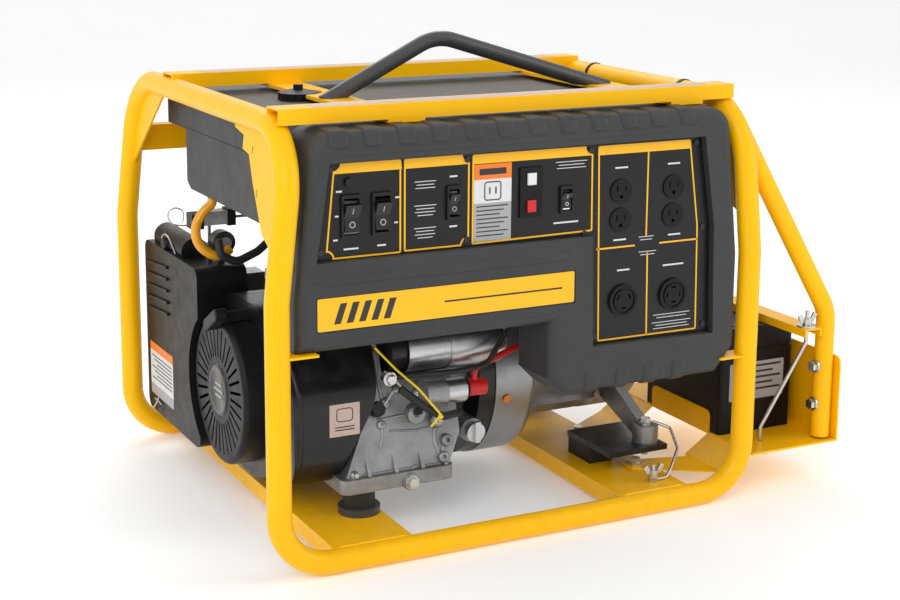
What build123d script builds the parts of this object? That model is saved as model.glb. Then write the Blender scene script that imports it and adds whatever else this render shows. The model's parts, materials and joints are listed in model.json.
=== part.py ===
from build123d import *
import os
from math import atan2, cos, degrees, hypot, pi, radians, sin, tan

os.makedirs("parts", exist_ok=True)

# ---------------------------------------------------------------- sizes (mm)
# Tube frame. X runs along the engine shaft, Y front (-) to back (+), Z up from the floor.
TUBE_R = 16.0
TUBE_WALL = 2.0
POST_X = 357.0
POST_Y = 317.0
CROSS_Z = 578.0
LEAN_IN = 23.0
LEAN_Z = 365.0
BEND_LOW = 70.0
BEND_TOP = 90.0
SPLIT_Z = 100.0
RAIL_WIDTH = 40.0
RAIL_HEIGHT = 20.0
RAIL_FRONT_Y = 50.0 - POST_Y
RAIL_REAR_Y = 151.0
RAIL_TOP_Z = CROSS_Z + 22.0
SHEET = 3.0
CHANNEL_WIDTH = 112.0
MOUNT_X = -198.0
CHANNEL_LEFT_X = MOUNT_X - 28.0
CHANNEL_RIGHT_X = 210.0

# Bail
BAIL_R = 11.0
BAIL_Y = -60.0
BAIL_LEFT_X = -185.0
BAIL_RIGHT_X = 262.0
BAIL_APEX_X = -12.0
BAIL_APEX_Z = CROSS_Z + 83.0
STRAP_TOP_Z = RAIL_TOP_Z - RAIL_HEIGHT

# Engine and alternator
SHAFT_Y = -20.0
SHAFT_Z = 170.0
SHAFT_R = 15.0
BASE_Z = 66.0
BASE_LEFT_X = -232.0
BASE_RIGHT_X = -64.0
ENGINE_FRONT_Y = -230.0
RECOIL_R = 106.0
RECOIL_X = -331.0
FAN_LEFT_X = -292.0
FAN_RIGHT_X = -165.0
DRUM_R = 140.0
DRUM_LEFT_X = 38.0
DRUM_RIGHT_X = 108.0
STATOR_R = 95.0
STATOR_RIGHT_X = 242.0
BRACKET_RIGHT_X = 318.0
ROTOR_R = 70.0
AIR_GAP = 0.5
BEARING_GAP = 0.05
FOOT_X = 262.0
FOOT_FRONT_Y = -210.0
FOOT_BACK_Y = 2 * SHAFT_Y - FOOT_FRONT_Y
MOUNT_FRONT_Y = -205.0
MOUNT_BACK_Y = 80.0

# Tank
TANK_HALF_X = POST_X - 42.0
TANK_FRONT_Y = 87.0 - POST_Y
TANK_REAR_Y = 248.0
TANK_STEP_Y = 165.0
TANK_STEP_Z = CROSS_Z - 60.0
TANK_BOTTOM_Z = CROSS_Z - 146.0
TANK_TOP_Z = CROSS_Z - 8.0
TANK_WALL = 4.0
CAP_X = -190.0
CAP_Y = 20.0
NECK_R = 22.0

# Shroud and control panel
SHROUD_SIDE_GAP = 8.0
SHROUD_FRONT_Y = -POST_Y - 8.0
SHROUD_DEPTH = 88.0
SHROUD_WALL = 4.0
SHROUD_CORNER = 34.0
PANEL_Y = SHROUD_FRONT_Y + 11.0
PANEL_THICK = 2.5
PANEL_GAP = 0.5
SHROUD_LOW_Z = 297.0
SHROUD_DEEP_Z = 195.0
SHROUD_STEP_X = 30.0
BUTTON_GAP = 0.3

# Battery and tray
BATTERY_LONG = 197.0
BATTERY_WIDE = 131.0
BATTERY_TALL = 163.0
BATTERY_LEFT_X = POST_X + 22.0
BATTERY_FRONT_Y = -232.0
TRAY_Z = 63.0
TRAY_FRONT_Y = -320.0
TRAY_MID_Y = BATTERY_FRONT_Y + BATTERY_LONG / 2
TRAY_BACK_Y = 2 * TRAY_MID_Y - TRAY_FRONT_Y
GUARD_R = 14.0
GUARD_Y = -300.0
GUARD_X = BATTERY_LEFT_X + BATTERY_WIDE + 4.0
BAR_X = BATTERY_LEFT_X + 99.0
ROD_R = 3.0

# The overall box runs from the left posts to the tray's end wall.
LEFT_EDGE_X = -POST_X - TUBE_R
RIGHT_EDGE_X = GUARD_X + GUARD_R + SHEET
CENTRE_X = (LEFT_EDGE_X + RIGHT_EDGE_X) / 2


# ---------------------------------------------------------------- helpers
def box(x0, x1, y0, y1, z0, z1):
    """Block between two opposite corners."""
    middle = Pos((x0 + x1) / 2, (y0 + y1) / 2, (z0 + z1) / 2)
    return middle * Box(x1 - x0, y1 - y0, z1 - z0)


def rod_x(x0, x1, y, z, r):
    """Round bar along X."""
    return Pos((x0 + x1) / 2, y, z) * Rot(0, 90, 0) * Cylinder(r, x1 - x0)


def rod_y(x, y0, y1, z, r):
    """Round bar along Y."""
    return Pos(x, (y0 + y1) / 2, z) * Rot(90, 0, 0) * Cylinder(r, y1 - y0)


def rod_z(x, y, z0, z1, r):
    """Round bar along Z."""
    return Pos(x, y, (z0 + z1) / 2) * Cylinder(r, z1 - z0)


def rounded(points, radius):
    """Flat outline with every corner rounded."""
    outline = make_face(Polyline(*points, close=True))
    if radius > 0:
        outline = fillet(outline.vertices(), radius)
    return outline


def prism_x(outline, x0, x1):
    """Outline drawn in (Y, Z), carried from x0 to x1."""
    plane = Plane(origin=(x0, 0, 0), x_dir=(0, 1, 0), z_dir=(1, 0, 0))
    return extrude(plane * outline, amount=x1 - x0)


def prism_y(outline, y0, y1):
    """Outline drawn in (X, Z), carried from y1 forward to y0."""
    plane = Plane(origin=(0, y1, 0), x_dir=(1, 0, 0), z_dir=(0, -1, 0))
    return extrude(plane * outline, amount=y1 - y0)


def prism_z(outline, z0, z1):
    """Outline drawn in (X, Y), carried from z0 to z1."""
    return extrude(Pos(0, 0, z0) * outline, amount=z1 - z0)


def bent_rod(points, radii, r):
    """Round bar along straight runs joined by tangent arcs."""
    path = FilletPolyline(*points, radius=radii)
    start = Plane(origin=path @ 0, z_dir=path % 0)
    return sweep(start * Circle(r), path=path)


def bent_tube(points, radii, r, wall):
    """Hollow version of bent_rod."""
    path = FilletPolyline(*points, radius=radii)
    start = Plane(origin=path @ 0, z_dir=path % 0)
    return sweep(start * (Circle(r) - Circle(r - wall)), path=path)


def save(name, shape):
    """Move a piece so the overall box is centred in X, then write it."""
    export_step(Pos(-CENTRE_X, 0, 0) * shape, "parts/" + name + ".step")


# ---------------------------------------------------------------- tube frame
def rail_points(y):
    return [
        (-POST_X, y, SPLIT_Z),
        (-POST_X, y, TUBE_R),
        (POST_X, y, TUBE_R),
        (POST_X, y, SPLIT_Z),
    ]


def hoop_points(side):
    top_x = side * (POST_X - LEAN_IN)
    return [
        (side * POST_X, -POST_Y, SPLIT_Z),
        (side * POST_X, -POST_Y, LEAN_Z),
        (top_x, -POST_Y, CROSS_Z),
        (top_x, POST_Y, CROSS_Z),
        (side * POST_X, POST_Y, LEAN_Z),
        (side * POST_X, POST_Y, SPLIT_Z),
    ]


HOOP_RADII = [120.0, BEND_TOP, BEND_TOP, 120.0]


def bottom_rail(y):
    return bent_tube(rail_points(y), [BEND_LOW, BEND_LOW], TUBE_R, TUBE_WALL)


def bottom_rail_rod(y):
    return bent_rod(rail_points(y), [BEND_LOW, BEND_LOW], TUBE_R)


def hoop(side):
    return bent_tube(hoop_points(side), HOOP_RADII, TUBE_R, TUBE_WALL)


def hoop_rod(side):
    return bent_rod(hoop_points(side), HOOP_RADII, TUBE_R)


def top_rail(y, hoops):
    """Square-edged tube notched over the two end cross tubes."""
    reach = POST_X - LEAN_IN + 6.0
    z0 = RAIL_TOP_Z - RAIL_HEIGHT
    outer = box(-reach, reach, y - RAIL_WIDTH / 2, y + RAIL_WIDTH / 2, z0, RAIL_TOP_Z)
    inner = box(
        -reach,
        reach,
        y - RAIL_WIDTH / 2 + TUBE_WALL,
        y + RAIL_WIDTH / 2 - TUBE_WALL,
        z0 + TUBE_WALL,
        RAIL_TOP_Z - TUBE_WALL,
    )
    return outer - inner - hoops


def base_channel(x, rails):
    """Top-hat channel lying between the two bottom rails."""
    reach = POST_Y - 4.0
    half = CHANNEL_WIDTH / 2
    top = 2 * TUBE_R
    channel = box(x - half, x + half, -reach, reach, top - SHEET, top)
    for side in (-1, 1):
        edge = x + side * half
        inner = edge - side * SHEET
        flange = box(min(edge, inner), max(edge, inner), -reach, reach, 8, top - SHEET)
        channel = channel + flange
    return channel - rails


def corner_gusset(points, side):
    """Flat gusset in the leaning plane of a hoop."""
    lean = side * degrees(atan2(LEAN_IN, CROSS_Z - LEAN_Z))
    plate = prism_x(make_face(Polyline(*points, close=True)), -SHEET / 2, SHEET / 2)
    return Pos(side * (POST_X - LEAN_IN), 0, CROSS_Z) * Rot(0, -lean, 0) * plate


def front_gusset(side):
    points = [
        (-POST_Y + 8, -2),
        (-118, -2),
        (-126, -20),
        (-160, -26),
        (-160, -44),
        (-184, -48),
        (-206, -82),
        (-POST_Y + 66, -140),
        (-POST_Y + 8, -165),
    ]
    plate = corner_gusset(points, side)
    for y, dz in ((-196.0, -40.0), (-222.0, -92.0)):
        slot = Pos(0, y, dz) * Box(40, 4, 10)
        plate = plate - Pos(side * (POST_X - LEAN_IN), 0, CROSS_Z) * slot
    return plate


def rear_gusset(side):
    points = [(POST_Y - 8, -2), (170, -2), (POST_Y - 8, -138)]
    return corner_gusset(points, side)


def shroud_tab(side, z):
    """Small shelf welded to a front post under the shroud."""
    inner = side * (POST_X - 51.0)
    outer = side * POST_X
    shelf = box(min(inner, outer), max(inner, outer), -POST_Y - 12, -POST_Y + 18, z - SHEET, z)
    return shelf


def frame_brackets(hoops):
    """Gussets at the four top corners and the two shroud shelves."""
    parts = [front_gusset(-1), front_gusset(1), rear_gusset(-1), rear_gusset(1)]
    parts.append(shroud_tab(-1, SHROUD_LOW_Z))
    parts.append(shroud_tab(1, SHROUD_DEEP_Z + 22))
    pieces = [part - hoops for part in parts]
    pieces[5] = pieces[5] - front_shroud()
    pieces[1] = pieces[1] - bent_rod(guard_points(), [60.0], GUARD_R)
    return Compound(children=[solid for piece in pieces for solid in biggest(piece)])


def biggest(shape):
    """Only the largest solid of a cut piece, so no offcuts are left."""
    return [max(shape.solids(), key=lambda solid: solid.volume)]


def cross_straps():
    """Rear angle bar between the hoops and the two straps under the top rails."""
    rear_y = 296.0
    z0 = CROSS_Z - 112
    z1 = CROSS_Z - 70
    reach = POST_X
    upright = box(-reach, reach, rear_y, rear_y + SHEET, z0, z1)
    ledge = box(-reach, reach, rear_y - 22, rear_y, z1 - SHEET, z1)
    rear = (upright + ledge) - hoop_rod(-1) - hoop_rod(1) - rear_gusset(-1) - rear_gusset(1)
    parts = biggest(rear)
    front = RAIL_FRONT_Y - RAIL_WIDTH / 2
    back = RAIL_REAR_Y + RAIL_WIDTH / 2
    for x in (BAIL_LEFT_X + 19, BAIL_RIGHT_X):
        strap = box(x - 26, x + 26, front, back, STRAP_TOP_Z - 5, STRAP_TOP_Z)
        strap = strap - rod_z(CAP_X, CAP_Y, STRAP_TOP_Z - 9, STRAP_TOP_Z + 9, 34)
        parts = parts + biggest(strap)
    return Compound(children=parts)


def lifting_bail():
    """Bent lifting tube whose flattened feet stand on the straps."""
    points = [
        (BAIL_LEFT_X, BAIL_Y, STRAP_TOP_Z - 6),
        (BAIL_APEX_X, BAIL_Y, BAIL_APEX_Z),
        (BAIL_RIGHT_X + 12, BAIL_Y, STRAP_TOP_Z - 6),
    ]
    tube = bent_tube(points, [70.0], BAIL_R, 2.5)
    keep = box(-POST_X, POST_X, -200, 200, STRAP_TOP_Z, BAIL_APEX_Z + 40)
    tube = tube & keep
    return tube


# ---------------------------------------------------------------- guard and tray
def guard_points():
    return [
        (POST_X - 19.5, GUARD_Y, CROSS_Z - 32),
        (GUARD_X, GUARD_Y, CROSS_Z - 320),
        (GUARD_X, GUARD_Y, TRAY_Z + 3),
    ]


def guard_tube(hoops):
    """Tube from the right hoop down to the tray's end wall, bolted through."""
    tube = bent_tube(guard_points(), [60.0], GUARD_R, TUBE_WALL)
    tube = tube - hoops
    for z in GUARD_BOLT_Z:
        tube = tube - rod_x(GUARD_X - 40, GUARD_X + 40, GUARD_Y, z, 5.2)
    return biggest(tube)[0]


GUARD_BOLT_Z = (116.8, 174.5)
TONGUE_X = 243.0
TONGUE_BOLTS_Y = (-215.0, 2 * TRAY_MID_Y + 215.0)
ROD_HOLE_X = BATTERY_LEFT_X + 43.0


def tray_tongue(mirror):
    """Tapered foot on the right channel and the sloped web up to the tray."""
    base = 2 * TUBE_R
    y_bolt = TONGUE_BOLTS_Y[0]
    outline = make_face(
        Polyline(
            (TONGUE_X - 14, y_bolt - 12),
            (POST_X - 18, -296),
            (POST_X - 18, -222),
            (TONGUE_X + 4, y_bolt + 18),
            (TONGUE_X - 14, y_bolt + 14),
            close=True,
        )
    )
    foot = prism_z(outline, base, base + SHEET)
    foot = foot - rod_z(TONGUE_X, y_bolt, base - 5, base + 10, 5.2)
    web_profile = make_face(
        Polyline(
            (POST_X - 18 - SHEET, base),
            (POST_X - 18 + 1, base),
            (BATTERY_LEFT_X - 1, TRAY_Z - SHEET),
            (BATTERY_LEFT_X - 1, TRAY_Z),
            (POST_X - 18 - SHEET, base + SHEET),
            close=True,
        )
    )
    web = prism_y(web_profile, -296, -209)
    piece = foot + web
    if mirror:
        piece = Pos(0, 2 * TRAY_MID_Y, 0) * (piece.mirror(Plane.XZ))
    return piece


def battery_tray():
    """Folded sheet tray: floor, low inner wall, tall end wall, two tongues."""
    left = BATTERY_LEFT_X - 4
    right = RIGHT_EDGE_X
    floor = box(left + 1, right, TRAY_FRONT_Y, TRAY_BACK_Y, TRAY_Z - SHEET, TRAY_Z)
    tray = floor
    low_outline = rounded(
        [
            (BATTERY_FRONT_Y + 23, TRAY_Z - SHEET),
            (BATTERY_FRONT_Y + 23, TRAY_Z + 33),
            (TRAY_BACK_Y - 110, TRAY_Z + 33),
            (TRAY_BACK_Y - 110, TRAY_Z - SHEET),
        ],
        10,
    )
    low_outline = low_outline + Pos(
        (BATTERY_FRONT_Y + 23 + TRAY_BACK_Y - 110) / 2, TRAY_Z + 3
    ) * Rectangle(TRAY_BACK_Y - 110 - BATTERY_FRONT_Y - 23, 12)
    tray = tray + prism_x(low_outline, left + 1, left + 1 + SHEET)
    wall_outline = Pos(TRAY_MID_Y, TRAY_Z + 62) * RectangleRounded(
        TRAY_BACK_Y - TRAY_FRONT_Y, 130, 12
    )
    wall_foot = Pos(TRAY_MID_Y, TRAY_Z + 7) * Rectangle(TRAY_BACK_Y - TRAY_FRONT_Y, 20)
    wall = prism_x(wall_outline + wall_foot, right - SHEET, right)
    wall = wall & box(right - 10, right + 10, -POST_Y - 50, POST_Y + 50, TRAY_Z - SHEET, 400)
    tray = tray + wall
    tray = tray + tray_tongue(False) + tray_tongue(True)
    for z in GUARD_BOLT_Z:
        tray = tray - rod_x(right - 20, right + 20, GUARD_Y, z, 5.2)
    for y in ROD_HOLES_Y:
        tray = tray - rod_z(ROD_HOLE_X, y, TRAY_Z - 20, TRAY_Z + 20, 5.5)
    return tray


ROD_HOLES_Y = (-275.0, 2 * TRAY_MID_Y + 275.0)
BAR_Z = TRAY_Z + BATTERY_TALL
BAR_ENDS_Y = (-302.0, 2 * TRAY_MID_Y + 302.0)


def battery():
    """Small lead-acid battery: case, lid, carrying ribs and two flag terminals."""
    x0 = BATTERY_LEFT_X
    x1 = x0 + BATTERY_WIDE
    y0 = BATTERY_FRONT_Y
    y1 = y0 + BATTERY_LONG
    outline = Pos((x0 + x1) / 2, (y0 + y1) / 2) * RectangleRounded(
        BATTERY_WIDE, BATTERY_LONG, 6
    )
    case = prism_z(outline, TRAY_Z, BAR_Z)
    lid_line = prism_z(outline, BAR_Z - 36, BAR_Z - 33)
    slim = Pos((x0 + x1) / 2, (y0 + y1) / 2) * RectangleRounded(
        BATTERY_WIDE - 3, BATTERY_LONG - 3, 5
    )
    case = case - (lid_line - prism_z(slim, BAR_Z - 37, BAR_Z - 32))
    for y in TERMINALS_Y:
        case = case - box(x0 - 1, x0 + 30, y - 15, y + 15, BAR_Z - 22, BAR_Z + 1)
        post = box(x0 + 6, x0 + 20, y - 8, y + 8, BAR_Z - 22, BAR_Z - 4)
        case = case + (post - rod_x(x0 + 2, x0 + 24, y, BAR_Z - 12, 3.2))
    return case


TERMINALS_Y = (BATTERY_FRONT_Y + 26, BATTERY_FRONT_Y + BATTERY_LONG - 26)


def hold_down_bar():
    """Shallow channel across the battery, slotted for the two rods."""
    y0 = BAR_ENDS_Y[0] - 16
    y1 = BAR_ENDS_Y[1] + 16
    bar = box(BAR_X - 15, BAR_X + 15, y0, y1, BAR_Z, BAR_Z + 12)
    bar = bar - box(BAR_X - 12.5, BAR_X + 12.5, y0 - 1, y1 + 1, BAR_Z - 1, BAR_Z + 9.5)
    for y in BAR_ENDS_Y:
        bar = bar - rod_z(BAR_X, y, BAR_Z, BAR_Z + 20, 4.0)
    return bar


def hold_down_rod(top_y, foot_y):
    """Rod hooked under the tray floor and threaded at the top."""
    toward = 1 if foot_y > top_y else -1
    points = [
        (BAR_X, top_y, BAR_Z + 36),
        (BAR_X, top_y, BAR_Z - 12),
        (ROD_HOLE_X, foot_y, TRAY_Z + 20),
        (ROD_HOLE_X, foot_y, TRAY_Z - 12),
        (ROD_HOLE_X, foot_y - toward * 18, TRAY_Z - 14),
    ]
    return bent_rod(points, [14.0, 14.0, 5.0], ROD_R)


def hold_down_rods():
    rods = [hold_down_rod(BAR_ENDS_Y[i], ROD_HOLES_Y[i]) for i in range(2)]
    return Compound(children=rods)


def wing_nut(x, y, z, shank_r, washer_r):
    """Wing nut on its washer, both turning on the rod."""
    washer = rod_z(x, y, z, z + 2.5, washer_r)
    hub = rod_z(x, y, z + 2.5, z + 12, 7)
    nut = washer + hub
    for side in (-1, 1):
        ear = Pos(x + side * 11, y, z + 13) * Rot(0, side * 30, 0) * Box(7, 3, 14)
        nut = nut + ear
    return nut - rod_z(x, y, z - 1, z + 30, shank_r + 0.3)


# ---------------------------------------------------------------- tank
def fuel_tank():
    """Moulded tank, stepped at the rear underside, with a filler neck."""
    outer = tank_block(0)
    outer = fillet(outer.edges().filter_by(Axis.Z), 22)
    inner = tank_block(TANK_WALL)
    tank = outer - inner
    for x in (BAIL_LEFT_X, BAIL_RIGHT_X):
        pocket = box(x - 28, x + 28, BAIL_Y - 24, BAIL_Y + 24, TANK_TOP_Z - 3.0, TANK_TOP_Z + 1)
        tank = tank - pocket
    neck = rod_z(CAP_X, CAP_Y, TANK_TOP_Z - TANK_WALL, TANK_TOP_Z + 6, NECK_R + 3)
    tank = tank + neck
    tank = tank - rod_z(CAP_X, CAP_Y, TANK_TOP_Z - 12, TANK_TOP_Z + 10, NECK_R)
    return biggest(tank - front_gusset(-1) - front_gusset(1) - rear_gusset(-1) - rear_gusset(1))[0]


def tank_block(inset):
    y0 = TANK_FRONT_Y + inset
    z0 = TANK_BOTTOM_Z + inset
    z1 = TANK_TOP_Z - inset
    outline = make_face(
        Polyline(
            (y0, z0),
            (TANK_STEP_Y - 35 - inset, z0),
            (TANK_STEP_Y - inset, z0 + 20),
            (TANK_STEP_Y - inset, TANK_STEP_Z + inset),
            (TANK_REAR_Y - inset, TANK_STEP_Z + inset),
            (TANK_REAR_Y - inset, z1 - 14),
            (TANK_REAR_Y - 30 - inset, z1),
            (y0 + 30, z1),
            (y0, z1 - 20),
            close=True,
        )
    )
    return prism_x(outline, -TANK_HALF_X + inset, TANK_HALF_X - inset)


def tank_cap():
    """Vented cap: dished skirt round the neck, low dome and centre knob."""
    seat = TANK_TOP_Z + 6
    skirt = rod_z(CAP_X, CAP_Y, TANK_TOP_Z + 0.4, seat + 4, 29)
    skirt = skirt - rod_z(CAP_X, CAP_Y, TANK_TOP_Z - 1, seat, NECK_R + 3.4)
    dome = Pos(CAP_X, CAP_Y, seat + 4) * Cone(27, 12, 4, align=(Align.CENTER, Align.CENTER, Align.MIN))
    knob = rod_z(CAP_X, CAP_Y, seat + 8, seat + 15, 7)
    cap = skirt + dome + knob
    for i in range(12):
        turn = Pos(CAP_X, CAP_Y, seat) * Rot(0, 0, 30 * i)
        cap = cap - turn * Pos(30.5, 0, 0) * Cylinder(3, 20)
    return cap


# ---------------------------------------------------------------- shroud and panel
def side_x(z):
    """Half width of the shroud: it follows the lean of the posts."""
    straight = POST_X - TUBE_R - SHROUD_SIDE_GAP
    return straight - max(0.0, z - LEAN_Z) * LEAN_IN / (CROSS_Z - LEAN_Z)


def shroud_outline():
    top = CROSS_Z - 4
    return [
        (-side_x(300), SHROUD_LOW_Z),
        (-side_x(300), LEAN_Z),
        (-side_x(top), top),
        (side_x(top), top),
        (side_x(300), LEAN_Z),
        (side_x(300), SHROUD_DEEP_Z + 36),
        (side_x(300) - 30, SHROUD_DEEP_Z),
        (SHROUD_STEP_X + 24, SHROUD_DEEP_Z),
        (SHROUD_STEP_X, SHROUD_DEEP_Z + 24),
        (SHROUD_STEP_X, SHROUD_LOW_Z),
    ]


def panel_outline():
    top = CROSS_Z - 43
    return [
        (-288.0, top),
        (268.0, top),
        (287.0, top - 123),
        (292.0, top - 279),
        (96.0, top - 276),
        (92.0, top - 123),
        (-306.0, top - 123),
    ]


def front_shroud():
    """Moulded front cover with a recess for the panel and a shallow sign recess."""
    back = SHROUD_FRONT_Y + SHROUD_DEPTH
    face = make_face(Polyline(*shroud_outline(), close=True))
    face = fillet(face.vertices().sort_by(Axis.Y)[-2:], SHROUD_CORNER)
    outer = prism_y(face, SHROUD_FRONT_Y, back)
    front_edges = outer.faces().sort_by(Axis.Y)[0].edges()
    outer = fillet(front_edges, 14)
    slim = offset(face, amount=-SHROUD_WALL)
    inner = prism_y(slim, SHROUD_FRONT_Y + SHROUD_WALL, back + 1)
    front_edges = inner.faces().sort_by(Axis.Y)[0].edges()
    inner = fillet(front_edges, 10)
    recess_face = make_face(Polyline(*panel_outline(), close=True))
    bigger = offset(recess_face, amount=PANEL_GAP)
    lip = offset(recess_face, amount=PANEL_GAP + SHROUD_WALL)
    well_back = PANEL_Y + PANEL_THICK
    well = prism_y(lip, SHROUD_FRONT_Y + 1, well_back + 3)
    hollow = prism_y(bigger, SHROUD_FRONT_Y - 5, well_back)
    window = prism_y(offset(recess_face, amount=-14), SHROUD_FRONT_Y - 5, back)
    shell = (outer - inner) + (well & outer)
    shell = shell - hollow - window
    sign = box(-308, 66, SHROUD_FRONT_Y - 1, SHROUD_FRONT_Y + 1.2, CROSS_Z - 255, CROSS_Z - 210)
    return shell - sign


# (centre x, centre z, opening width, opening height) of each rocker switch
ENGINE_SWITCH = (-256.0, CROSS_Z - 112, 21.0, 46.0)
IDLE_SWITCH = (-214.0, CROSS_Z - 112, 21.0, 46.0)
VOLTAGE_SWITCH = (-113.0, CROSS_Z - 106, 14.0, 36.0)
BREAKER_SWITCH = (55.0, CROSS_Z - 115, 14.0, 28.0)
GFCI_X = 0.0
GFCI_Z = CROSS_Z - 101
TEST_Z = GFCI_Z + 18
RESET_Z = GFCI_Z - 18
DUPLEX_X = (140.5, 225.0)
DUPLEX_Z = (CROSS_Z - 110.5, CROSS_Z - 150)
LOCKING_X = (147.5, 229.0)
LOCKING_Z = CROSS_Z - 262
PIVOT_Y = PANEL_Y + 1.25
PIVOT_R = 0.8
PIVOT_GAP = 0.06
PIVOT_REACH = 1.4


def switch_bezel(size):
    x, z, w, h = size
    front = PANEL_Y - 4.0
    frame = Pos(x, z) * RectangleRounded(w + 7, h + 9, 2)
    frame = frame - Pos(x, z) * Rectangle(w, h)
    return prism_y(frame, front, PANEL_Y)


def switch_hole(size):
    x, z, w, h = size
    return box(x - w / 2, x + w / 2, PANEL_Y - 20, PANEL_Y + 20, z - h / 2, z + h / 2)


def rocker(size, rest_deg):
    """Two-way rocker: a shallow V front inside a circle round its own pivot."""
    x, z, w, h = size
    r = h / 2 - BUTTON_GAP - 1.5
    tall = 0.84 * r
    proud = 0.5 * r
    profile = make_face(
        Polyline(
            (-proud, -tall),
            (-0.24 * r, 0),
            (-proud, tall),
            (proud * 0.6, tall),
            (proud * 0.6, -tall),
            close=True,
        )
    )
    half = w / 2 - BUTTON_GAP
    key = prism_x(profile, -half, half)
    pivot = rod_x(-w / 2 - PIVOT_REACH, w / 2 + PIVOT_REACH, 0, 0, PIVOT_R)
    return Pos(x, PIVOT_Y, z) * Rot(rest_deg, 0, 0) * (key + pivot)


def screw_positions():
    top = CROSS_Z - 52
    low = CROSS_Z - 155
    return [
        (-284.0, top),
        (-94.0, top),
        (91.0, top),
        (259.8, top),
        (-297.0, low),
        (-94.0, low),
        (84.0, low - 8),
        (275.0, low - 15),
        (281.4, CROSS_Z - 310),
        (102.0, CROSS_Z - 309),
    ]


def panel_screws():
    screws = []
    for x, z in screw_positions():
        head = rod_y(x, PANEL_Y - 2.2, PANEL_Y, z, 3.6)
        head = head - box(x - 2.6, x + 2.6, PANEL_Y - 3, PANEL_Y - 1.2, z - 0.5, z + 0.5)
        shank = rod_y(x, PANEL_Y, PANEL_Y + PANEL_THICK, z, 1.8)
        screws.append(head + shank)
    return Compound(children=screws)


def control_panel():
    """Flat panel plate with switch frames, outlet openings and a pilot lamp."""
    plate = prism_y(make_face(Polyline(*panel_outline(), close=True)), PANEL_Y, PANEL_Y + PANEL_THICK)
    for size in (ENGINE_SWITCH, IDLE_SWITCH, VOLTAGE_SWITCH, BREAKER_SWITCH):
        plate = plate + switch_bezel(size)
    for size in (ENGINE_SWITCH, IDLE_SWITCH, VOLTAGE_SWITCH, BREAKER_SWITCH):
        plate = plate - switch_hole(size)
        reach = size[2] / 2 + PIVOT_REACH + BUTTON_GAP
        plate = plate - rod_x(size[0] - reach, size[0] + reach, PIVOT_Y, size[1], PIVOT_R + PIVOT_GAP)
    plate = plate - box(GFCI_X - 16.9, GFCI_X + 16.9, PANEL_Y - 9, PANEL_Y + 9, GFCI_Z - 33.4, GFCI_Z + 33.4)
    for x in DUPLEX_X:
        for z in DUPLEX_Z:
            plate = plate - rod_y(x, PANEL_Y - 9, PANEL_Y + 9, z, 17.0)
    for x in LOCKING_X:
        plate = plate - rod_y(x, PANEL_Y - 9, PANEL_Y + 9, LOCKING_Z, 22.5)
    for x, z in screw_positions():
        plate = plate - rod_y(x, PANEL_Y - 9, PANEL_Y + 9, z, 1.8)
    lamp = rod_y(ENGINE_SWITCH[0] - 3, PANEL_Y - 5, PANEL_Y, ENGINE_SWITCH[1] + 43, 6)
    return plate + lamp


def gfci_body():
    """Protected-outlet breaker block with wells for its two buttons."""
    front = PANEL_Y - 3
    back = PANEL_Y + 24
    body = box(GFCI_X - 16.7, GFCI_X + 16.7, front, back, GFCI_Z - 33.2, GFCI_Z + 33.2)
    for z in (TEST_Z, RESET_Z):
        body = body - box(GFCI_X - 6.6, GFCI_X + 6.6, front - 1, front + 9, z - 8.1, z + 8.1)
    return body


def gfci_button(z):
    front = PANEL_Y - 3
    return box(
        GFCI_X - 6.6 + BUTTON_GAP,
        GFCI_X + 6.6 - BUTTON_GAP,
        front - 2.5,
        front + 5.0,
        z - 8.1 + BUTTON_GAP,
        z + 8.1 - BUTTON_GAP,
    )


def duplex_outlets():
    """Four round straight-blade outlet faces on two yokes."""
    parts = []
    for x in DUPLEX_X:
        z_mid = sum(DUPLEX_Z) / 2
        yoke = box(x - 14, x + 14, PANEL_Y + PANEL_THICK, PANEL_Y + 22, z_mid - 42, z_mid + 42)
        for z in DUPLEX_Z:
            face = rod_y(x, PANEL_Y - 2, PANEL_Y + PANEL_THICK, z, 16.8)
            face = face - box(x - 7.4, x - 5.6, PANEL_Y - 3, PANEL_Y + 10, z - 1, z + 7.5)
            face = face - box(x + 5.6, x + 7.4, PANEL_Y - 3, PANEL_Y + 10, z - 0.5, z + 7)
            face = face - rod_y(x, PANEL_Y - 3, PANEL_Y + 10, z - 7.5, 2.7)
            yoke = yoke + face
        parts.append(yoke)
    return Compound(children=parts)


def arc_slot(x, z, angle, radius, span):
    """Curved blade slot of a twist-lock outlet."""
    slot = Pos(x, 0, z) * Rot(0, angle, 0) * Pos(radius, PANEL_Y, 0)
    return slot * Box(2.2, 24, span)


def locking_outlets():
    """Two twist-lock outlets, one with three slots and one with four."""
    parts = []
    for x, count in zip(LOCKING_X, (3, 4)):
        body = rod_y(x, PANEL_Y - 4, PANEL_Y + 26, LOCKING_Z, 22.3)
        body = body - (
            rod_y(x, PANEL_Y - 5, PANEL_Y - 2, LOCKING_Z, 18.0)
            - rod_y(x, PANEL_Y - 6, PANEL_Y + 1, LOCKING_Z, 0.1 + 15.0)
        )
        for i in range(count):
            body = body - arc_slot(x, LOCKING_Z, 360.0 * i / count + 90, 10.5, 8.0)
        parts.append(body)
    return Compound(children=parts)


# ---------------------------------------------------------------- engine
def shaft_bore(x0, x1, gap):
    return rod_x(x0, x1, SHAFT_Y, SHAFT_Z, SHAFT_R + gap)


def head_frame():
    """Local axes of the inclined cylinder: origin on the shaft, Z along the bore."""
    return Pos(CYLINDER_X, SHAFT_Y, SHAFT_Z) * Rot(-65, 0, 0)


CYLINDER_X = -112.0


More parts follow.
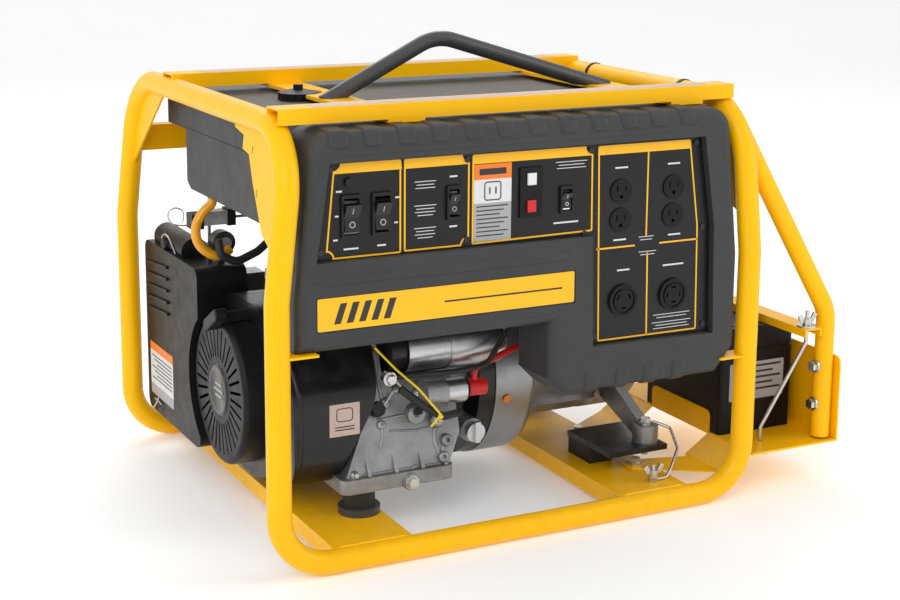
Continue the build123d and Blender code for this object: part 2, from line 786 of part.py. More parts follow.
def fan_block(inset):
    outline = Pos((SHAFT_Y - 128 + 108) / 2, SHAFT_Z + 3) * RectangleRounded(
        236 + 20 - 2 * inset, 250 - 2 * inset, 100 - inset
    )
    return prism_x(outline, FAN_LEFT_X + inset, FAN_RIGHT_X + (1 if inset else 0))


def fan_scroll(inset):
    """Front bulge of the housing: it fills the corner up to the case's sloping left side."""
    outline = make_face(
        Polyline(
            (SCROLL_FRONT_Y, BASE_Z + 4),
            (SCROLL_FRONT_Y, BASE_Z + 134),
            (SHAFT_Y - 110, SHAFT_Z + 112),
            (SHAFT_Y - 90, BASE_Z + 4),
            close=True,
        )
    )
    front = outline.vertices().sort_by(Axis.X)[:2]
    outline = offset(fillet(front, 42), amount=-inset) if inset else fillet(front, 42)
    bulge = prism_x(outline, FAN_LEFT_X + inset, CYLINDER_X)
    beside = make_face(
        Polyline(
            (FAN_LEFT_X, BASE_Z),
            (BASE_LEFT_X - 0.5, BASE_Z),
            (BASE_LEFT_X - 0.5, BASE_Z + 21),
            (BASE_LEFT_X + 7, BASE_Z + 21),
            (BASE_LEFT_X + 55, BASE_Z + 110),
            (BASE_LEFT_X + 73, BASE_Z + 180),
            (BASE_LEFT_X + 73, BASE_Z + 240),
            (FAN_LEFT_X, BASE_Z + 240),
            close=True,
        )
    )
    return bulge & prism_y(beside, ENGINE_FRONT_Y, SHAFT_Y)


SCROLL_FRONT_Y = ENGINE_FRONT_Y + 24.0


def fan_housing():
    """Pressed housing round the flywheel, open towards the engine."""
    shell = (fan_block(0) + (fan_scroll(0) - crankcase_blank())) - fan_block(3)
    shell = shell - fan_scroll(3)
    shell = shell - rod_x(FAN_LEFT_X - 5, FAN_LEFT_X + 10, SHAFT_Y, SHAFT_Z, 92)
    shell = shell - box(FAN_RIGHT_X - 40, FAN_RIGHT_X + 10, -30, 200, BASE_Z - 30, SHAFT_Z + 60)
    return shell


def recoil_cover():
    """Round slotted starter cover with a plain centre."""
    shell = rod_x(RECOIL_X, FAN_LEFT_X, SHAFT_Y, SHAFT_Z, RECOIL_R)
    shell = fillet(shell.faces().sort_by(Axis.X)[0].edges(), 8)
    shell = shell - rod_x(RECOIL_X + 4, FAN_LEFT_X + 1, SHAFT_Y, SHAFT_Z, RECOIL_R - 4)
    for i in range(32):
        slot = Pos(RECOIL_X + 1, SHAFT_Y, SHAFT_Z) * Rot(360 * i / 32, 0, 0)
        shell = shell - slot * Pos(0, 0, 70) * Box(12, 4.2, 44)
    boss = rod_x(RECOIL_X + 4, RECOIL_X + 20, SHAFT_Y, SHAFT_Z, 14)
    eyelet = rod_x(RECOIL_X, FAN_LEFT_X, GRIP_Y, GRIP_Z, 10)
    eyelet = eyelet - rod_x(RECOIL_X - 5, FAN_LEFT_X + 5, SHAFT_Y, SHAFT_Z, RECOIL_R - 2)
    shell = shell + boss + eyelet
    return shell - rod_x(RECOIL_X - 5, FAN_LEFT_X - 4, GRIP_Y, GRIP_Z, 3.5)


def recoil_handle():
    """Grip resting on the cover's cord eyelet, with the stub of its cord."""
    grip = Pos(RECOIL_X - 9.3, GRIP_Y, GRIP_Z) * Rot(0, 90, 0) * Rot(0, 0, 60) * (
        extrude(SlotOverall(62, 17), amount=9, both=True)
    )
    grip = fillet(grip.edges(), 2.5)
    return grip + rod_x(RECOIL_X - 2, RECOIL_X + 20, GRIP_Y, GRIP_Z, 2.6)


GRIP_Y = SHAFT_Y - 19.0
GRIP_Z = SHAFT_Z + RECOIL_R + 2.0


def flywheel():
    """Flywheel disc with its ring of cooling fan blades."""
    x0 = FAN_LEFT_X + 22
    disc = rod_x(x0 + 22, x0 + 48, SHAFT_Y, SHAFT_Z, 88)
    wheel = disc + rod_x(x0, x0 + 22, SHAFT_Y, SHAFT_Z, 30)
    for i in range(16):
        turn = Pos(x0 + 12, SHAFT_Y, SHAFT_Z) * Rot(360 * i / 16, 0, 0)
        wheel = wheel + turn * Pos(0, 0, 64) * Rot(0, 0, 20) * Box(20, 4, 46)
    return wheel - shaft_bore(x0 - 10, x0 + 70, 0)


def crankshaft():
    """Straight shaft through engine and alternator, with webs and throw."""
    shaft = rod_x(FAN_LEFT_X + 12, BRACKET_RIGHT_X - 12, SHAFT_Y, SHAFT_Z, SHAFT_R)
    for x in (CYLINDER_X - 30, CYLINDER_X + 18):
        shaft = shaft + rod_x(x, x + 12, SHAFT_Y, SHAFT_Z, 40)
    return shaft


def alternator_rotor():
    """Wound rotor with its cooling fan next to the engine."""
    core = rod_x(DRUM_RIGHT_X + 14, STATOR_RIGHT_X - 12, SHAFT_Y, SHAFT_Z, ROTOR_R)
    fan = rod_x(DRUM_LEFT_X + 30, DRUM_LEFT_X + 36, SHAFT_Y, SHAFT_Z, 110)
    hub = rod_x(DRUM_LEFT_X + 30, DRUM_RIGHT_X + 14, SHAFT_Y, SHAFT_Z, 28)
    rotor = core + fan + hub
    for i in range(12):
        turn = Pos(DRUM_LEFT_X + 44, SHAFT_Y, SHAFT_Z) * Rot(360 * i / 12, 0, 0)
        rotor = rotor + turn * Pos(0, 0, 86) * Box(18, 3, 44)
    return rotor - shaft_bore(DRUM_LEFT_X, STATOR_RIGHT_X, 0)


def crankcase_blank():
    """Sloped case: side view crossed with front view, on a flanged base."""
    side_view = make_face(
        Polyline(
            (ENGINE_FRONT_Y + 10, BASE_Z + 18),
            (ENGINE_FRONT_Y + 28, BASE_Z + 80),
            (ENGINE_FRONT_Y + 66, BASE_Z + 172),
            (30, BASE_Z + 172),
            (100, BASE_Z + 120),
            (112, BASE_Z + 18),
            close=True,
        )
    )
    front_view = make_face(
        Polyline(
            (BASE_LEFT_X + 8, BASE_Z + 18),
            (BASE_LEFT_X + 56, BASE_Z + 110),
            (BASE_LEFT_X + 74, BASE_Z + 180),
            (-46, BASE_Z + 180),
            (-46, BASE_Z + 60),
            (BASE_RIGHT_X - 4, BASE_Z + 18),
            close=True,
        )
    )
    case = prism_x(side_view, BASE_LEFT_X, 0) & prism_y(front_view, ENGINE_FRONT_Y, 120)
    flange_outline = Pos((BASE_LEFT_X + BASE_RIGHT_X) / 2, (ENGINE_FRONT_Y + 120) / 2) * (
        RectangleRounded(BASE_RIGHT_X - BASE_LEFT_X, 120 - ENGINE_FRONT_Y, 12)
    )
    return case + prism_z(flange_outline, BASE_Z, BASE_Z + 20)


def crankcase():
    """Cast case with side cover, ribs, bosses, crank room and shaft bearings."""
    case = crankcase_blank()
    cover = rod_x(-60, -20, SHAFT_Y, SHAFT_Z, 104)
    cover = cover + rod_x(-20, 12, SHAFT_Y, SHAFT_Z, 96)
    case = case + cover
    for i in range(8):
        turn = Pos(-40, SHAFT_Y, SHAFT_Z) * Rot(45 * i + 20, 0, 0) * Pos(0, 0, 102)
        case = case + turn * Rot(0, 90, 0) * Cylinder(9, 44)
    for x in (-190.0, -150.0, -110.0, -75.0):
        rib_outline = make_face(
            Polyline(
                (ENGINE_FRONT_Y + 4, BASE_Z + 19),
                (ENGINE_FRONT_Y + 40, BASE_Z + 84),
                (ENGINE_FRONT_Y + 60, BASE_Z + 84),
                (ENGINE_FRONT_Y + 60, BASE_Z + 19),
                close=True,
            )
        )
        case = case + prism_x(rib_outline, x - 2.5, x + 2.5)
    case = case + rod_y(OIL_X, OIL_FACE_Y, SHAFT_Y, OIL_Z, 17)
    case = case + rod_y(DRAIN_X, ENGINE_FRONT_Y - 3, ENGINE_FRONT_Y + 10, DRAIN_Z, 12)
    case = case + rod_y(-112, ENGINE_FRONT_Y + 22, ENGINE_FRONT_Y + 90, 158, 13)
    case = case - fan_block(0)
    case = case - rod_x(-150, 40, STARTER_Y, STARTER_Z, STARTER_R)
    case = case - rod_x(CYLINDER_X - 34, CYLINDER_X + 34, SHAFT_Y, SHAFT_Z, 58)
    case = case - head_frame() * Pos(0, 0, 85) * Cylinder(44, 100)
    case = case - head_frame() * Pos(0, 0, 88 + 100) * Box(240, 200, 200)
    case = case - shaft_bore(-300, 40, BEARING_GAP)
    case = case - rod_y(OIL_X, OIL_FACE_Y - 5, OIL_FACE_Y + 14, OIL_Z, OIL_NECK_R)
    case = case - rod_y(DRAIN_X, ENGINE_FRONT_Y - 9, ENGINE_FRONT_Y + 14, DRAIN_Z, 6)
    for y in (MOUNT_FRONT_Y, MOUNT_BACK_Y):
        case = case - rod_z(MOUNT_X, y, BASE_Z - 1, BASE_Z + 16, 5.2)
    return biggest(case)[0]


OIL_X = -12.0
OIL_Z = 113.0
OIL_FACE_Y = -180.0
OIL_NECK_R = 9.0
DRAIN_X = -132.0
DRAIN_Z = BASE_Z + 6
STARTER_Y = -166.0
STARTER_Z = 240.0
STARTER_R = 34.0


def cylinder_head():
    """Finned barrel and head on the inclined bore."""
    frame = head_frame()
    barrel = frame * Pos(0, 0, 88 + 55) * Cylinder(50, 110)
    part = barrel
    for i in range(9):
        fin = frame * Pos(0, 0, 92 + 9.5 * i) * Box(112, 118, 3)
        part = part + fin
    part = part + frame * Pos(0, 0, 186) * Box(104, 108, 24)
    part = part - frame * Pos(0, 0, 88 + 40) * Cylinder(44, 96)
    return part - fan_block(0)


def rocker_cover():
    """Domed cover on the end of the head."""
    outline = RectangleRounded(88, 92, 18)
    cover = extrude(outline, amount=38)
    cover = fillet(cover.faces().sort_by(Axis.Z)[-1].edges(), 10)
    return head_frame() * Pos(0, 0, 198) * cover


def spark_plug():
    """Plug in the side of the head with its black boot."""
    at = head_frame() * Pos(0, -54, 188) * Rot(60, 0, 0)
    plug = at * Pos(0, 0, 22) * Cylinder(9, 44)
    return biggest(plug - cylinder_head() - rocker_cover())[0]


def muffler():
    """Rounded silencer box behind the head, with inlet stub and tailpipe."""
    shell = box(-30, 130, 130, 262, 262, 392)
    shell = fillet(shell.edges().filter_by(Axis.X), 30)
    tail = rod_y(96, 262, 296, 300, 13) - rod_y(96, 270, 300, 300, 11)
    inner = fillet(box(-28, 128, 132, 260, 264, 390).edges().filter_by(Axis.X), 28)
    part = (shell - inner) + tail + rod_x(-62, -25, 165, 290, 14)
    return part - head_frame() * Pos(0, 0, 180) * Box(112, 118, 200)


CLEANER_TOP_Z = 330.0


def air_cleaner_case():
    """Boxy air cleaner beside the starter cover, with louvre ribs and top inlet."""
    z0 = 62.0
    z1 = CLEANER_TOP_Z
    outline = Pos(168.5, (z0 + z1) / 2) * RectangleRounded(247, z1 - z0, 16)
    case = prism_x(outline, -338, -262)
    case = case - rod_x(-345, -200, SHAFT_Y, SHAFT_Z, RECOIL_R + 4)
    for i in range(5):
        z = 302.0 - 18 * i
        rib = Pos(-338, 226, z) * Rot(-5, 0, 0) * Box(7, 96, 4)
        case = case + rib
    inlet = rod_y(-312, 130, 262, 338, 20)
    case = case + inlet
    return case - fan_block(0)


def carburetor():
    """Body, bowl and inlet between air cleaner and head."""
    body = rod_x(-262, -168, 178, 262, 16)
    bowl = rod_z(-212, 178, 226, 256, 22)
    flange = box(-174, -168, 150, 206, 240, 284)
    part = body + bowl + flange + box(-234, -192, 158, 198, 250, 290)
    pump = rod_y(-286, 72, 92, 360, 17) + rod_y(-286, 66, 72, 360, 9)
    stalk = box(-290, -282, 84, 92, CLEANER_TOP_Z, CLEANER_TOP_Z + 15)
    return Compound(children=[part, pump + stalk + rod_y(-286, 92, 130, 345, 8)])


def idle_solenoid():
    """Throttle solenoid on a bracket, with its link rod."""
    y = 84.0
    z = 397.0
    body = box(-316, -280, y - 11, y + 11, z - 10, z + 10)
    left = box(-334, -316, y - 13, y + 13, z - 14, z + 8)
    right = box(-280, -268, y - 13, y + 13, z - 12, z + 12)
    rod = rod_x(-268, -226, y, z - 2, 2)
    bracket = box(-302, -298, y + 11, y + 15, CLEANER_TOP_Z, z + 6)
    return body + left + right + rod + bracket


def starter_motor():
    """Starter on top of the case: nose, body, end cap and through bolts."""
    x_step = -54.0
    nose = rod_x(-142, -118, STARTER_Y, STARTER_Z, 27)
    mid = rod_x(-118, x_step, STARTER_Y, STARTER_Z, STARTER_R - 2)
    body = rod_x(x_step, 34, STARTER_Y, STARTER_Z, STARTER_R)
    motor = nose + mid + body
    motor = fillet(motor.faces().sort_by(Axis.X)[-1].edges(), 6)
    return motor


SOLENOID_Y = -208.0
SOLENOID_Z = 186.0


def starter_solenoid():
    """Relay cylinder with its insulating head and bracket to the case."""
    coil = rod_x(-72, -42, SOLENOID_Y, SOLENOID_Z, 18)
    base = rod_x(-104, -72, SOLENOID_Y, SOLENOID_Z, 21)
    head = rod_x(-42, -37, SOLENOID_Y, SOLENOID_Z, 15)
    foot = box(-100, -50, SOLENOID_Y, SOLENOID_Y + 44, SOLENOID_Z - 6, SOLENOID_Z + 6)
    part = coil + base + head + foot
    part = part - crankcase() - rod_x(-160, 60, STARTER_Y, STARTER_Z, STARTER_R)
    return biggest(part)[0]


def oil_filler_cap():
    """Round screw cap with a finger bar on its face."""
    cap = rod_y(OIL_X, OIL_FACE_Y - 14, OIL_FACE_Y - 0.4, OIL_Z, 14)
    cap = cap + box(OIL_X - 4, OIL_X + 4, OIL_FACE_Y - 20, OIL_FACE_Y - 14, OIL_Z - 13, OIL_Z + 17)
    return cap + rod_y(OIL_X, OIL_FACE_Y - 1, OIL_FACE_Y + 10, OIL_Z, OIL_NECK_R - 0.4)


def alternator_adapter():
    """Black ring between engine cover and alternator drum."""
    ring = rod_x(12, DRUM_LEFT_X, SHAFT_Y, SHAFT_Z, DRUM_R - 2)
    ring = ring - rod_x(10, DRUM_LEFT_X + 2, SHAFT_Y, SHAFT_Z, DRUM_R - 16)
    spokes = rod_x(12, 18, SHAFT_Y, SHAFT_Z, DRUM_R - 14)
    spokes = spokes - rod_x(10, 20, SHAFT_Y, SHAFT_Z, SHAFT_R + 8)
    return ring + spokes - rod_x(10, DRUM_LEFT_X, STARTER_Y, STARTER_Z, STARTER_R)


def alternator_housing():
    """Drum that carries the stator and covers the cooling fan."""
    drum = rod_x(DRUM_LEFT_X, DRUM_RIGHT_X, SHAFT_Y, SHAFT_Z, DRUM_R)
    drum = fillet(drum.faces().sort_by(Axis.X)[-1].edges(), 14)
    drum = drum - rod_x(DRUM_LEFT_X - 1, DRUM_RIGHT_X - 6, SHAFT_Y, SHAFT_Z, DRUM_R - 6)
    drum = drum - rod_x(DRUM_LEFT_X, DRUM_RIGHT_X + 1, SHAFT_Y, SHAFT_Z, 60)
    return drum


def alternator_stator():
    """Laminated ring with corner lugs for four long bolts."""
    x0 = DRUM_RIGHT_X
    stack = rod_x(x0, STATOR_RIGHT_X, SHAFT_Y, SHAFT_Z, STATOR_R)
    for i in range(4):
        turn = Pos((x0 + STATOR_RIGHT_X) / 2, SHAFT_Y, SHAFT_Z) * Rot(90 * i + 45, 0, 0)
        stack = stack + turn * Pos(0, 0, STATOR_R) * Box(STATOR_RIGHT_X - x0, 22, 16)
    return stack - rod_x(x0 - 1, STATOR_RIGHT_X + 1, SHAFT_Y, SHAFT_Z, ROTOR_R + AIR_GAP)


def alternator_bracket():
    """Cast end bell with bearing, vents and two feet."""
    x0 = STATOR_RIGHT_X
    bell = rod_x(x0, BRACKET_RIGHT_X, SHAFT_Y, SHAFT_Z, STATOR_R + 4)
    bell = fillet(bell.faces().sort_by(Axis.X)[-1].edges(), 16)
    bell = bell - rod_x(x0 - 1, BRACKET_RIGHT_X - 8, SHAFT_Y, SHAFT_Z, STATOR_R - 6)
    for i in range(8):
        turn = Pos(BRACKET_RIGHT_X, SHAFT_Y, SHAFT_Z) * Rot(45 * i + 22.5, 0, 0)
        bell = bell - turn * Pos(0, 0, 62) * Box(40, 14, 30)
    bell = bell + rod_x(BRACKET_RIGHT_X - 26, BRACKET_RIGHT_X - 4, SHAFT_Y, SHAFT_Z, 26)
    bell = bell - shaft_bore(x0, BRACKET_RIGHT_X - 10, BEARING_GAP)
    for foot_y in (FOOT_FRONT_Y, FOOT_BACK_Y):
        toward = -1 if foot_y < SHAFT_Y else 1
        arm = make_face(
            Polyline(
                (SHAFT_Y + toward * 66, SHAFT_Z - 62),
                (SHAFT_Y + toward * 93, SHAFT_Z - 28),
                (foot_y, 92),
                (foot_y - toward * 12, 68),
                close=True,
            )
        )
        bell = bell + prism_x(arm, FOOT_X - 8, FOOT_X + 8)
        bell = bell + rod_z(FOOT_X, foot_y, 66, 92, 19)
        bell = bell - rod_z(FOOT_X, foot_y, 60, 99, 5.2) - rod_z(FOOT_X, foot_y, 92, 112, 11)
    hollow = rod_x(x0 + 1, BRACKET_RIGHT_X - 27, SHAFT_Y, SHAFT_Z, STATOR_R - 6.5)
    return bell - hollow


def rubber_mounts():
    """Two engine mounts on the left channel, two isolators under the alternator."""
    parts = []
    top = 2 * TUBE_R
    for y in (MOUNT_FRONT_Y, MOUNT_BACK_Y):
        body = rod_z(MOUNT_X, y, top, top + 10, 29) + rod_z(MOUNT_X, y, top + 10, BASE_Z, 22)
        parts.append(body - rod_z(MOUNT_X, y, top - 1, BASE_Z + 1, 5.2) - fan_block(0))
    for y, toward in ((FOOT_FRONT_Y, 1), (FOOT_BACK_Y, -1)):
        near = y + toward * 30
        far = y + toward * 92
        edge = y - toward * 26
        block = box(186, 224, min(near, far), max(near, far), top, 58)
        plate = box(184, 284, min(edge, far), max(edge, far), 58, 66)
        part = (block + plate) - rod_z(FOOT_X, y, 40, 80, 5.2)
        parts.append(part)
    return Compound(children=parts)


# ---------------------------------------------------------------- fasteners
def hex_bolt(reach):
    """Flange bolt, head up, shank of the given reach below the seat."""
    flange = Pos(0, 0, 1.5) * Cylinder(10, 3)
    head = extrude(Pos(0, 0, 3) * RegularPolygon(8, 6), amount=6.5)
    shank = Pos(0, 0, -reach / 2) * Cylinder(5, reach)
    return flange + head + shank


def hex_bolts():
    """All the visible hexagon-headed fasteners."""
    parts = []
    for z in GUARD_BOLT_Z:
        at = Pos(GUARD_X - GUARD_R, GUARD_Y, z) * Rot(0, -90, 0)
        parts.append(at * hex_bolt(2 * GUARD_R + SHEET))
    for y in TONGUE_BOLTS_Y:
        parts.append(Pos(TONGUE_X, y, 2 * TUBE_R + SHEET) * hex_bolt(SHEET))
    for y in (FOOT_FRONT_Y, FOOT_BACK_Y):
        parts.append(Pos(FOOT_X, y, 92) * hex_bolt(46))
    for y in (MOUNT_FRONT_Y, MOUNT_BACK_Y):
        under = Pos(MOUNT_X, y, 2 * TUBE_R - SHEET) * Rot(180, 0, 0)
        parts.append(under * hex_bolt(BASE_Z + 14 - 2 * TUBE_R))
    drain = Pos(DRAIN_X, ENGINE_FRONT_Y - 3, DRAIN_Z) * Rot(90, 0, 0) * hex_bolt(10)
    parts.append(drain)
    return Compound(children=parts)


# ---------------------------------------------------------------- cords
def battery_cable_red():
    """Positive lead and its boot, from the solenoid to the battery."""
    boot = rod_x(-37, -8, SOLENOID_Y, SOLENOID_Z, 12)
    points = [
        (-24, SOLENOID_Y, SOLENOID_Z + 6),
        (-24, SOLENOID_Y, SOLENOID_Z + 26),
        (60, SOLENOID_Y, SOLENOID_Z + 56),
        (296, SOLENOID_Y, SOLENOID_Z + 58),
        (330, TERMINALS_Y[0], BAR_Z - 12),
        (BATTERY_LEFT_X + 6, TERMINALS_Y[0], BAR_Z - 12),
    ]
    return boot + bent_rod(points, [12.0, 22.0, 20.0, 18.0], 4.5)


def battery_cable_black():
    """Negative lead from the case bolt to the far battery terminal."""
    points = [
        (-150, -209, 216),
        (-60, -224, 217),
        (-14, -226, 221),
        (40, -216, 290),
        (324, -150, 292),
        (342, TERMINALS_Y[1], BAR_Z - 12),
        (BATTERY_LEFT_X + 6, TERMINALS_Y[1], BAR_Z - 12),
    ]
    lug = rod_y(-156, -215, -203, 216, 9)
    return lug + bent_rod(points, [20.0, 20.0, 30.0, 30.0, 24.0], 4.0)


def easy_radii(points):
    """For each corner, the largest arc that its two runs have room for."""
    spots = [Vector(*point) for point in points]
    radii = []
    for before, here, after in zip(spots, spots[1:], spots[2:]):
        half_turn = radians((here - before).get_angle(after - here)) / 2
        radii.append(0.45 * min((here - before).length, (after - here).length) / tan(half_turn))
    return radii


def fuel_hose():
    """Hose from the tank's underside down to the fuel pump."""
    points = [
        (-306, 63, TANK_BOTTOM_Z),
        (-306, 63, TANK_BOTTOM_Z - 11),
        (-321, 62, TANK_BOTTOM_Z - 22),
        (-332, 61, TANK_BOTTOM_Z - 39),
        (-333, 60, TANK_BOTTOM_Z - 58),
        (-325, 59, TANK_BOTTOM_Z - 74),
        (-309, 58, TANK_BOTTOM_Z - 86),
        (-292, 60, TANK_BOTTOM_Z - 87),
        (-281, 64, TANK_BOTTOM_Z - 80),
    ]
    return bent_rod(points, easy_radii(points), 7.0)


def engine_leads():
    """Breather hose, harness sleeve, thin wires and the earth lead."""
    breather = bent_rod(
        [(-308, 36, 374), (-304, 36, 350), (-280, 37, 338), (-246, 42, 350), (-218, 50, 368)],
        [10.0, 24.0, 30.0],
        6.0,
    )
    sleeve = bent_rod(
        [(-146, -226, 204), (-118, -236, 180), (-88, -238, 160), (-50, -218, 156)],
        [18.0, 26.0],
        5.5,
    )
    wire = bent_rod(
        [(-178, -214, 262), (-152, -224, 232), (-126, -240, 206), (-94, -246, 166), (-104, -236, 148)],
        [24.0, 30.0, 7.0],
        1.6,
    )
    earth = bent_rod(
        [
            (FOOT_X + 8, FOOT_FRONT_Y - 8, 97),
            (FOOT_X + 26, FOOT_FRONT_Y - 26, 90),
            (FOOT_X + 24, FOOT_FRONT_Y - 50, 66),
            (EARTH_X + 34, EARTH_Y + 6, 44),
            (EARTH_X + 22, EARTH_Y, EARTH_EYE_Z),
            (EARTH_X + 5, EARTH_Y, EARTH_EYE_Z),
        ],
        [10.0, 12.0, 9.0, 5.0],
        2.2,
    )
    eye = rod_z(EARTH_X, EARTH_Y, 2 * TUBE_R, 2 * TUBE_R + EARTH_EYE_THICK, 7)
    stud = rod_z(EARTH_X, EARTH_Y, 2 * TUBE_R, 2 * TUBE_R + 26, 3.0)
    return Compound(children=[breather, sleeve, wire, earth + eye + stud])


EARTH_X = 228.0
EARTH_Y = -284.0
EARTH_EYE_THICK = 5.4
EARTH_EYE_Z = 2 * TUBE_R + EARTH_EYE_THICK / 2


# ---------------------------------------------------------------- build
def build():
    hoops = hoop_rod(-1) + hoop_rod(1)
    rails = bottom_rail_rod(-POST_Y) + bottom_rail_rod(POST_Y)
    save("frame_front_rail", bottom_rail(-POST_Y))
    save("frame_rear_rail", bottom_rail(POST_Y))
    save("frame_left_hoop", hoop(-1))
    save("frame_right_hoop", hoop(1))
    save("top_rail_front", top_rail(RAIL_FRONT_Y, hoops))
    save("top_rail_rear", top_rail(RAIL_REAR_Y, hoops))
    left_channel = base_channel(CHANNEL_LEFT_X, rails)
    for y in (MOUNT_FRONT_Y, MOUNT_BACK_Y):
        left_channel = left_channel - rod_z(MOUNT_X, y, 20, 40, 5.2)
    save("base_channel_left", left_channel)
    right_channel = base_channel(CHANNEL_RIGHT_X, rails)
    for y in TONGUE_BOLTS_Y:
        right_channel = right_channel - rod_z(TONGUE_X, y, 20, 40, 5.2)
    save("base_channel_right", right_channel)
    save("frame_brackets", frame_brackets(hoops))
    save("cross_straps", cross_straps())
    save("lifting_bail", lifting_bail())
    save("guard_tube", guard_tube(hoops))
    save("battery_tray", battery_tray())
    save("hex_bolts", hex_bolts())
    save("rubber_mounts", rubber_mounts())
    save("fuel_tank", fuel_tank())
    save("tank_cap", tank_cap())
    save("front_shroud", front_shroud())
    save("control_panel", control_panel())
    save("panel_screws", panel_screws())
    save("engine_rocker", rocker(ENGINE_SWITCH, 10))
    save("idle_rocker", rocker(IDLE_SWITCH, 10))
    save("voltage_rocker", rocker(VOLTAGE_SWITCH, 10))
    save("breaker_rocker", rocker(BREAKER_SWITCH, 10))
    save("gfci_body", gfci_body())
    save("gfci_test_button", gfci_button(TEST_Z))
    save("gfci_reset_button", gfci_button(RESET_Z))
    save("duplex_outlets", duplex_outlets())
    save("locking_outlets", locking_outlets())
    save("battery", battery())
    save("hold_down_bar", hold_down_bar())
    save("hold_down_rods", hold_down_rods())
    save("wing_nut_front", wing_nut(BAR_X, BAR_ENDS_Y[0], BAR_Z + 12, ROD_R, 15))
    save("wing_nut_rear", wing_nut(BAR_X, BAR_ENDS_Y[1], BAR_Z + 12, ROD_R, 15))
    save("ground_wing_nut", wing_nut(EARTH_X, EARTH_Y, 2 * TUBE_R + 6, 3.0, 7.5))
    save("battery_cable_red", battery_cable_red())
    save("battery_cable_black", battery_cable_black())
    save("crankcase", crankcase())
    save("cylinder_head", cylinder_head())
    save("rocker_cover", rocker_cover())
    save("spark_plug", spark_plug())
    save("fan_housing", fan_housing())
    save("recoil_cover", recoil_cover())
    save("recoil_handle", recoil_handle())
    save("flywheel", flywheel())
    save("crankshaft", crankshaft())
    save("alternator_rotor", alternator_rotor())
    save("muffler", muffler())
    save("air_cleaner_case", air_cleaner_case())
    save("carburetor", carburetor())
    save("idle_solenoid", idle_solenoid())
    save("starter_motor", starter_motor())
    save("starter_solenoid", starter_solenoid())
    save("oil_filler_cap", oil_filler_cap())
    save("alternator_adapter", alternator_adapter())
    save("alternator_housing", alternator_housing())
    save("alternator_stator", alternator_stator())
    save("alternator_bracket", alternator_bracket())
    save("fuel_hose", fuel_hose())
    save("engine_leads", engine_leads())


build()
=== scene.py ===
"""Looks of an open-frame portable generator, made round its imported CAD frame."""

import json
import math

import bmesh
import bpy
import numpy as np
from mathutils import Matrix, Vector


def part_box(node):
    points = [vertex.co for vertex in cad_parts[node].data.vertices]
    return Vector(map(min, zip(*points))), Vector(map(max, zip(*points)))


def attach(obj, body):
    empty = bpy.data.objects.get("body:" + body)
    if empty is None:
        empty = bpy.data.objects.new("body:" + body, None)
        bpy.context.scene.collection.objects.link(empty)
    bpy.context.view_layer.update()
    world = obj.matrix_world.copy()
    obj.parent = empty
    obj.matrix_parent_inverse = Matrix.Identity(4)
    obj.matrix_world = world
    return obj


bl_info = {
    "name": "Portable generator looks",
    "version": (1, 0, 0),
    "blender": (4, 5, 0),
    "location": "View3D > Sidebar > Generator",
    "description": "Finishes, prints, labels and small fittings of an open-frame generator",
    "category": "Object",
}

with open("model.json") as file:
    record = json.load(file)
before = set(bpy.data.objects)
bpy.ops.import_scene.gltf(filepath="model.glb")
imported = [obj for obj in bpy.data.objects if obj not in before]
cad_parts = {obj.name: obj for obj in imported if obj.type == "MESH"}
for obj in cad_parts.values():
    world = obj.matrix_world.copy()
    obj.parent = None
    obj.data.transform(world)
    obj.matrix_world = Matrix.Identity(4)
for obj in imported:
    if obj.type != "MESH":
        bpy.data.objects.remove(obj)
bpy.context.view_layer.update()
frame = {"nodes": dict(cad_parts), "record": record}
NODES = frame["nodes"]
FIXED = "generator"
FINISHES = {}

# ---------------------------------------------------------------- places taken from the frame
LEFT_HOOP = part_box("frame_left_hoop")
RIGHT_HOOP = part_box("frame_right_hoop")
MID_X = (LEFT_HOOP[0].x + RIGHT_HOOP[1].x) / 2
SHROUD_LO, SHROUD_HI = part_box("front_shroud")
LAMP_PROUD = 0.005
PANEL_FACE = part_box("control_panel")[0].y + LAMP_PROUD
BATTERY_LO, BATTERY_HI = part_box("battery")
DRUM_LO, DRUM_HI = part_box("alternator_housing")
FAN_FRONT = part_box("fan_housing")[0].y
CLEANER_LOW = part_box("air_cleaner_case")[0].z
CLEANER_FACE = MID_X - 0.338
RECOIL_FACE = MID_X - 0.331
TOP_RAILS = (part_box("top_rail_front"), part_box("top_rail_rear"))
TANK_LO, TANK_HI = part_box("fuel_tank")
SHAFT_Y = (DRUM_LO.y + DRUM_HI.y) / 2
SHAFT_Z = (DRUM_LO.z + DRUM_HI.z) / 2
TUBE_R = 0.016
PRINT_THICK = 0.0003
LABEL_THICK = 0.0004
LABEL_BAR = 0.0014
LABEL_SUNK = 0.0005
DOT_R = 0.006


# ---------------------------------------------------------------- settings
class FrameLooks(bpy.types.PropertyGroup):
    """Colours and finish of the painted steel."""

    paint: bpy.props.FloatVectorProperty(
        name="Frame paint", description="Powder coat of tubes, channels and tray",
        subtype="COLOR", size=3, min=0, max=1, default=(0.98, 0.515, 0.0),
    )
    bail: bpy.props.FloatVectorProperty(
        name="Bail paint", description="Satin paint of the lifting bail",
        subtype="COLOR", size=3, min=0, max=1, default=(0.046, 0.048, 0.05),
    )
    gloss: bpy.props.FloatProperty(
        name="Paint roughness", description="Roughness of the powder coat",
        subtype="FACTOR", min=0.05, max=0.9, default=0.34,
    )


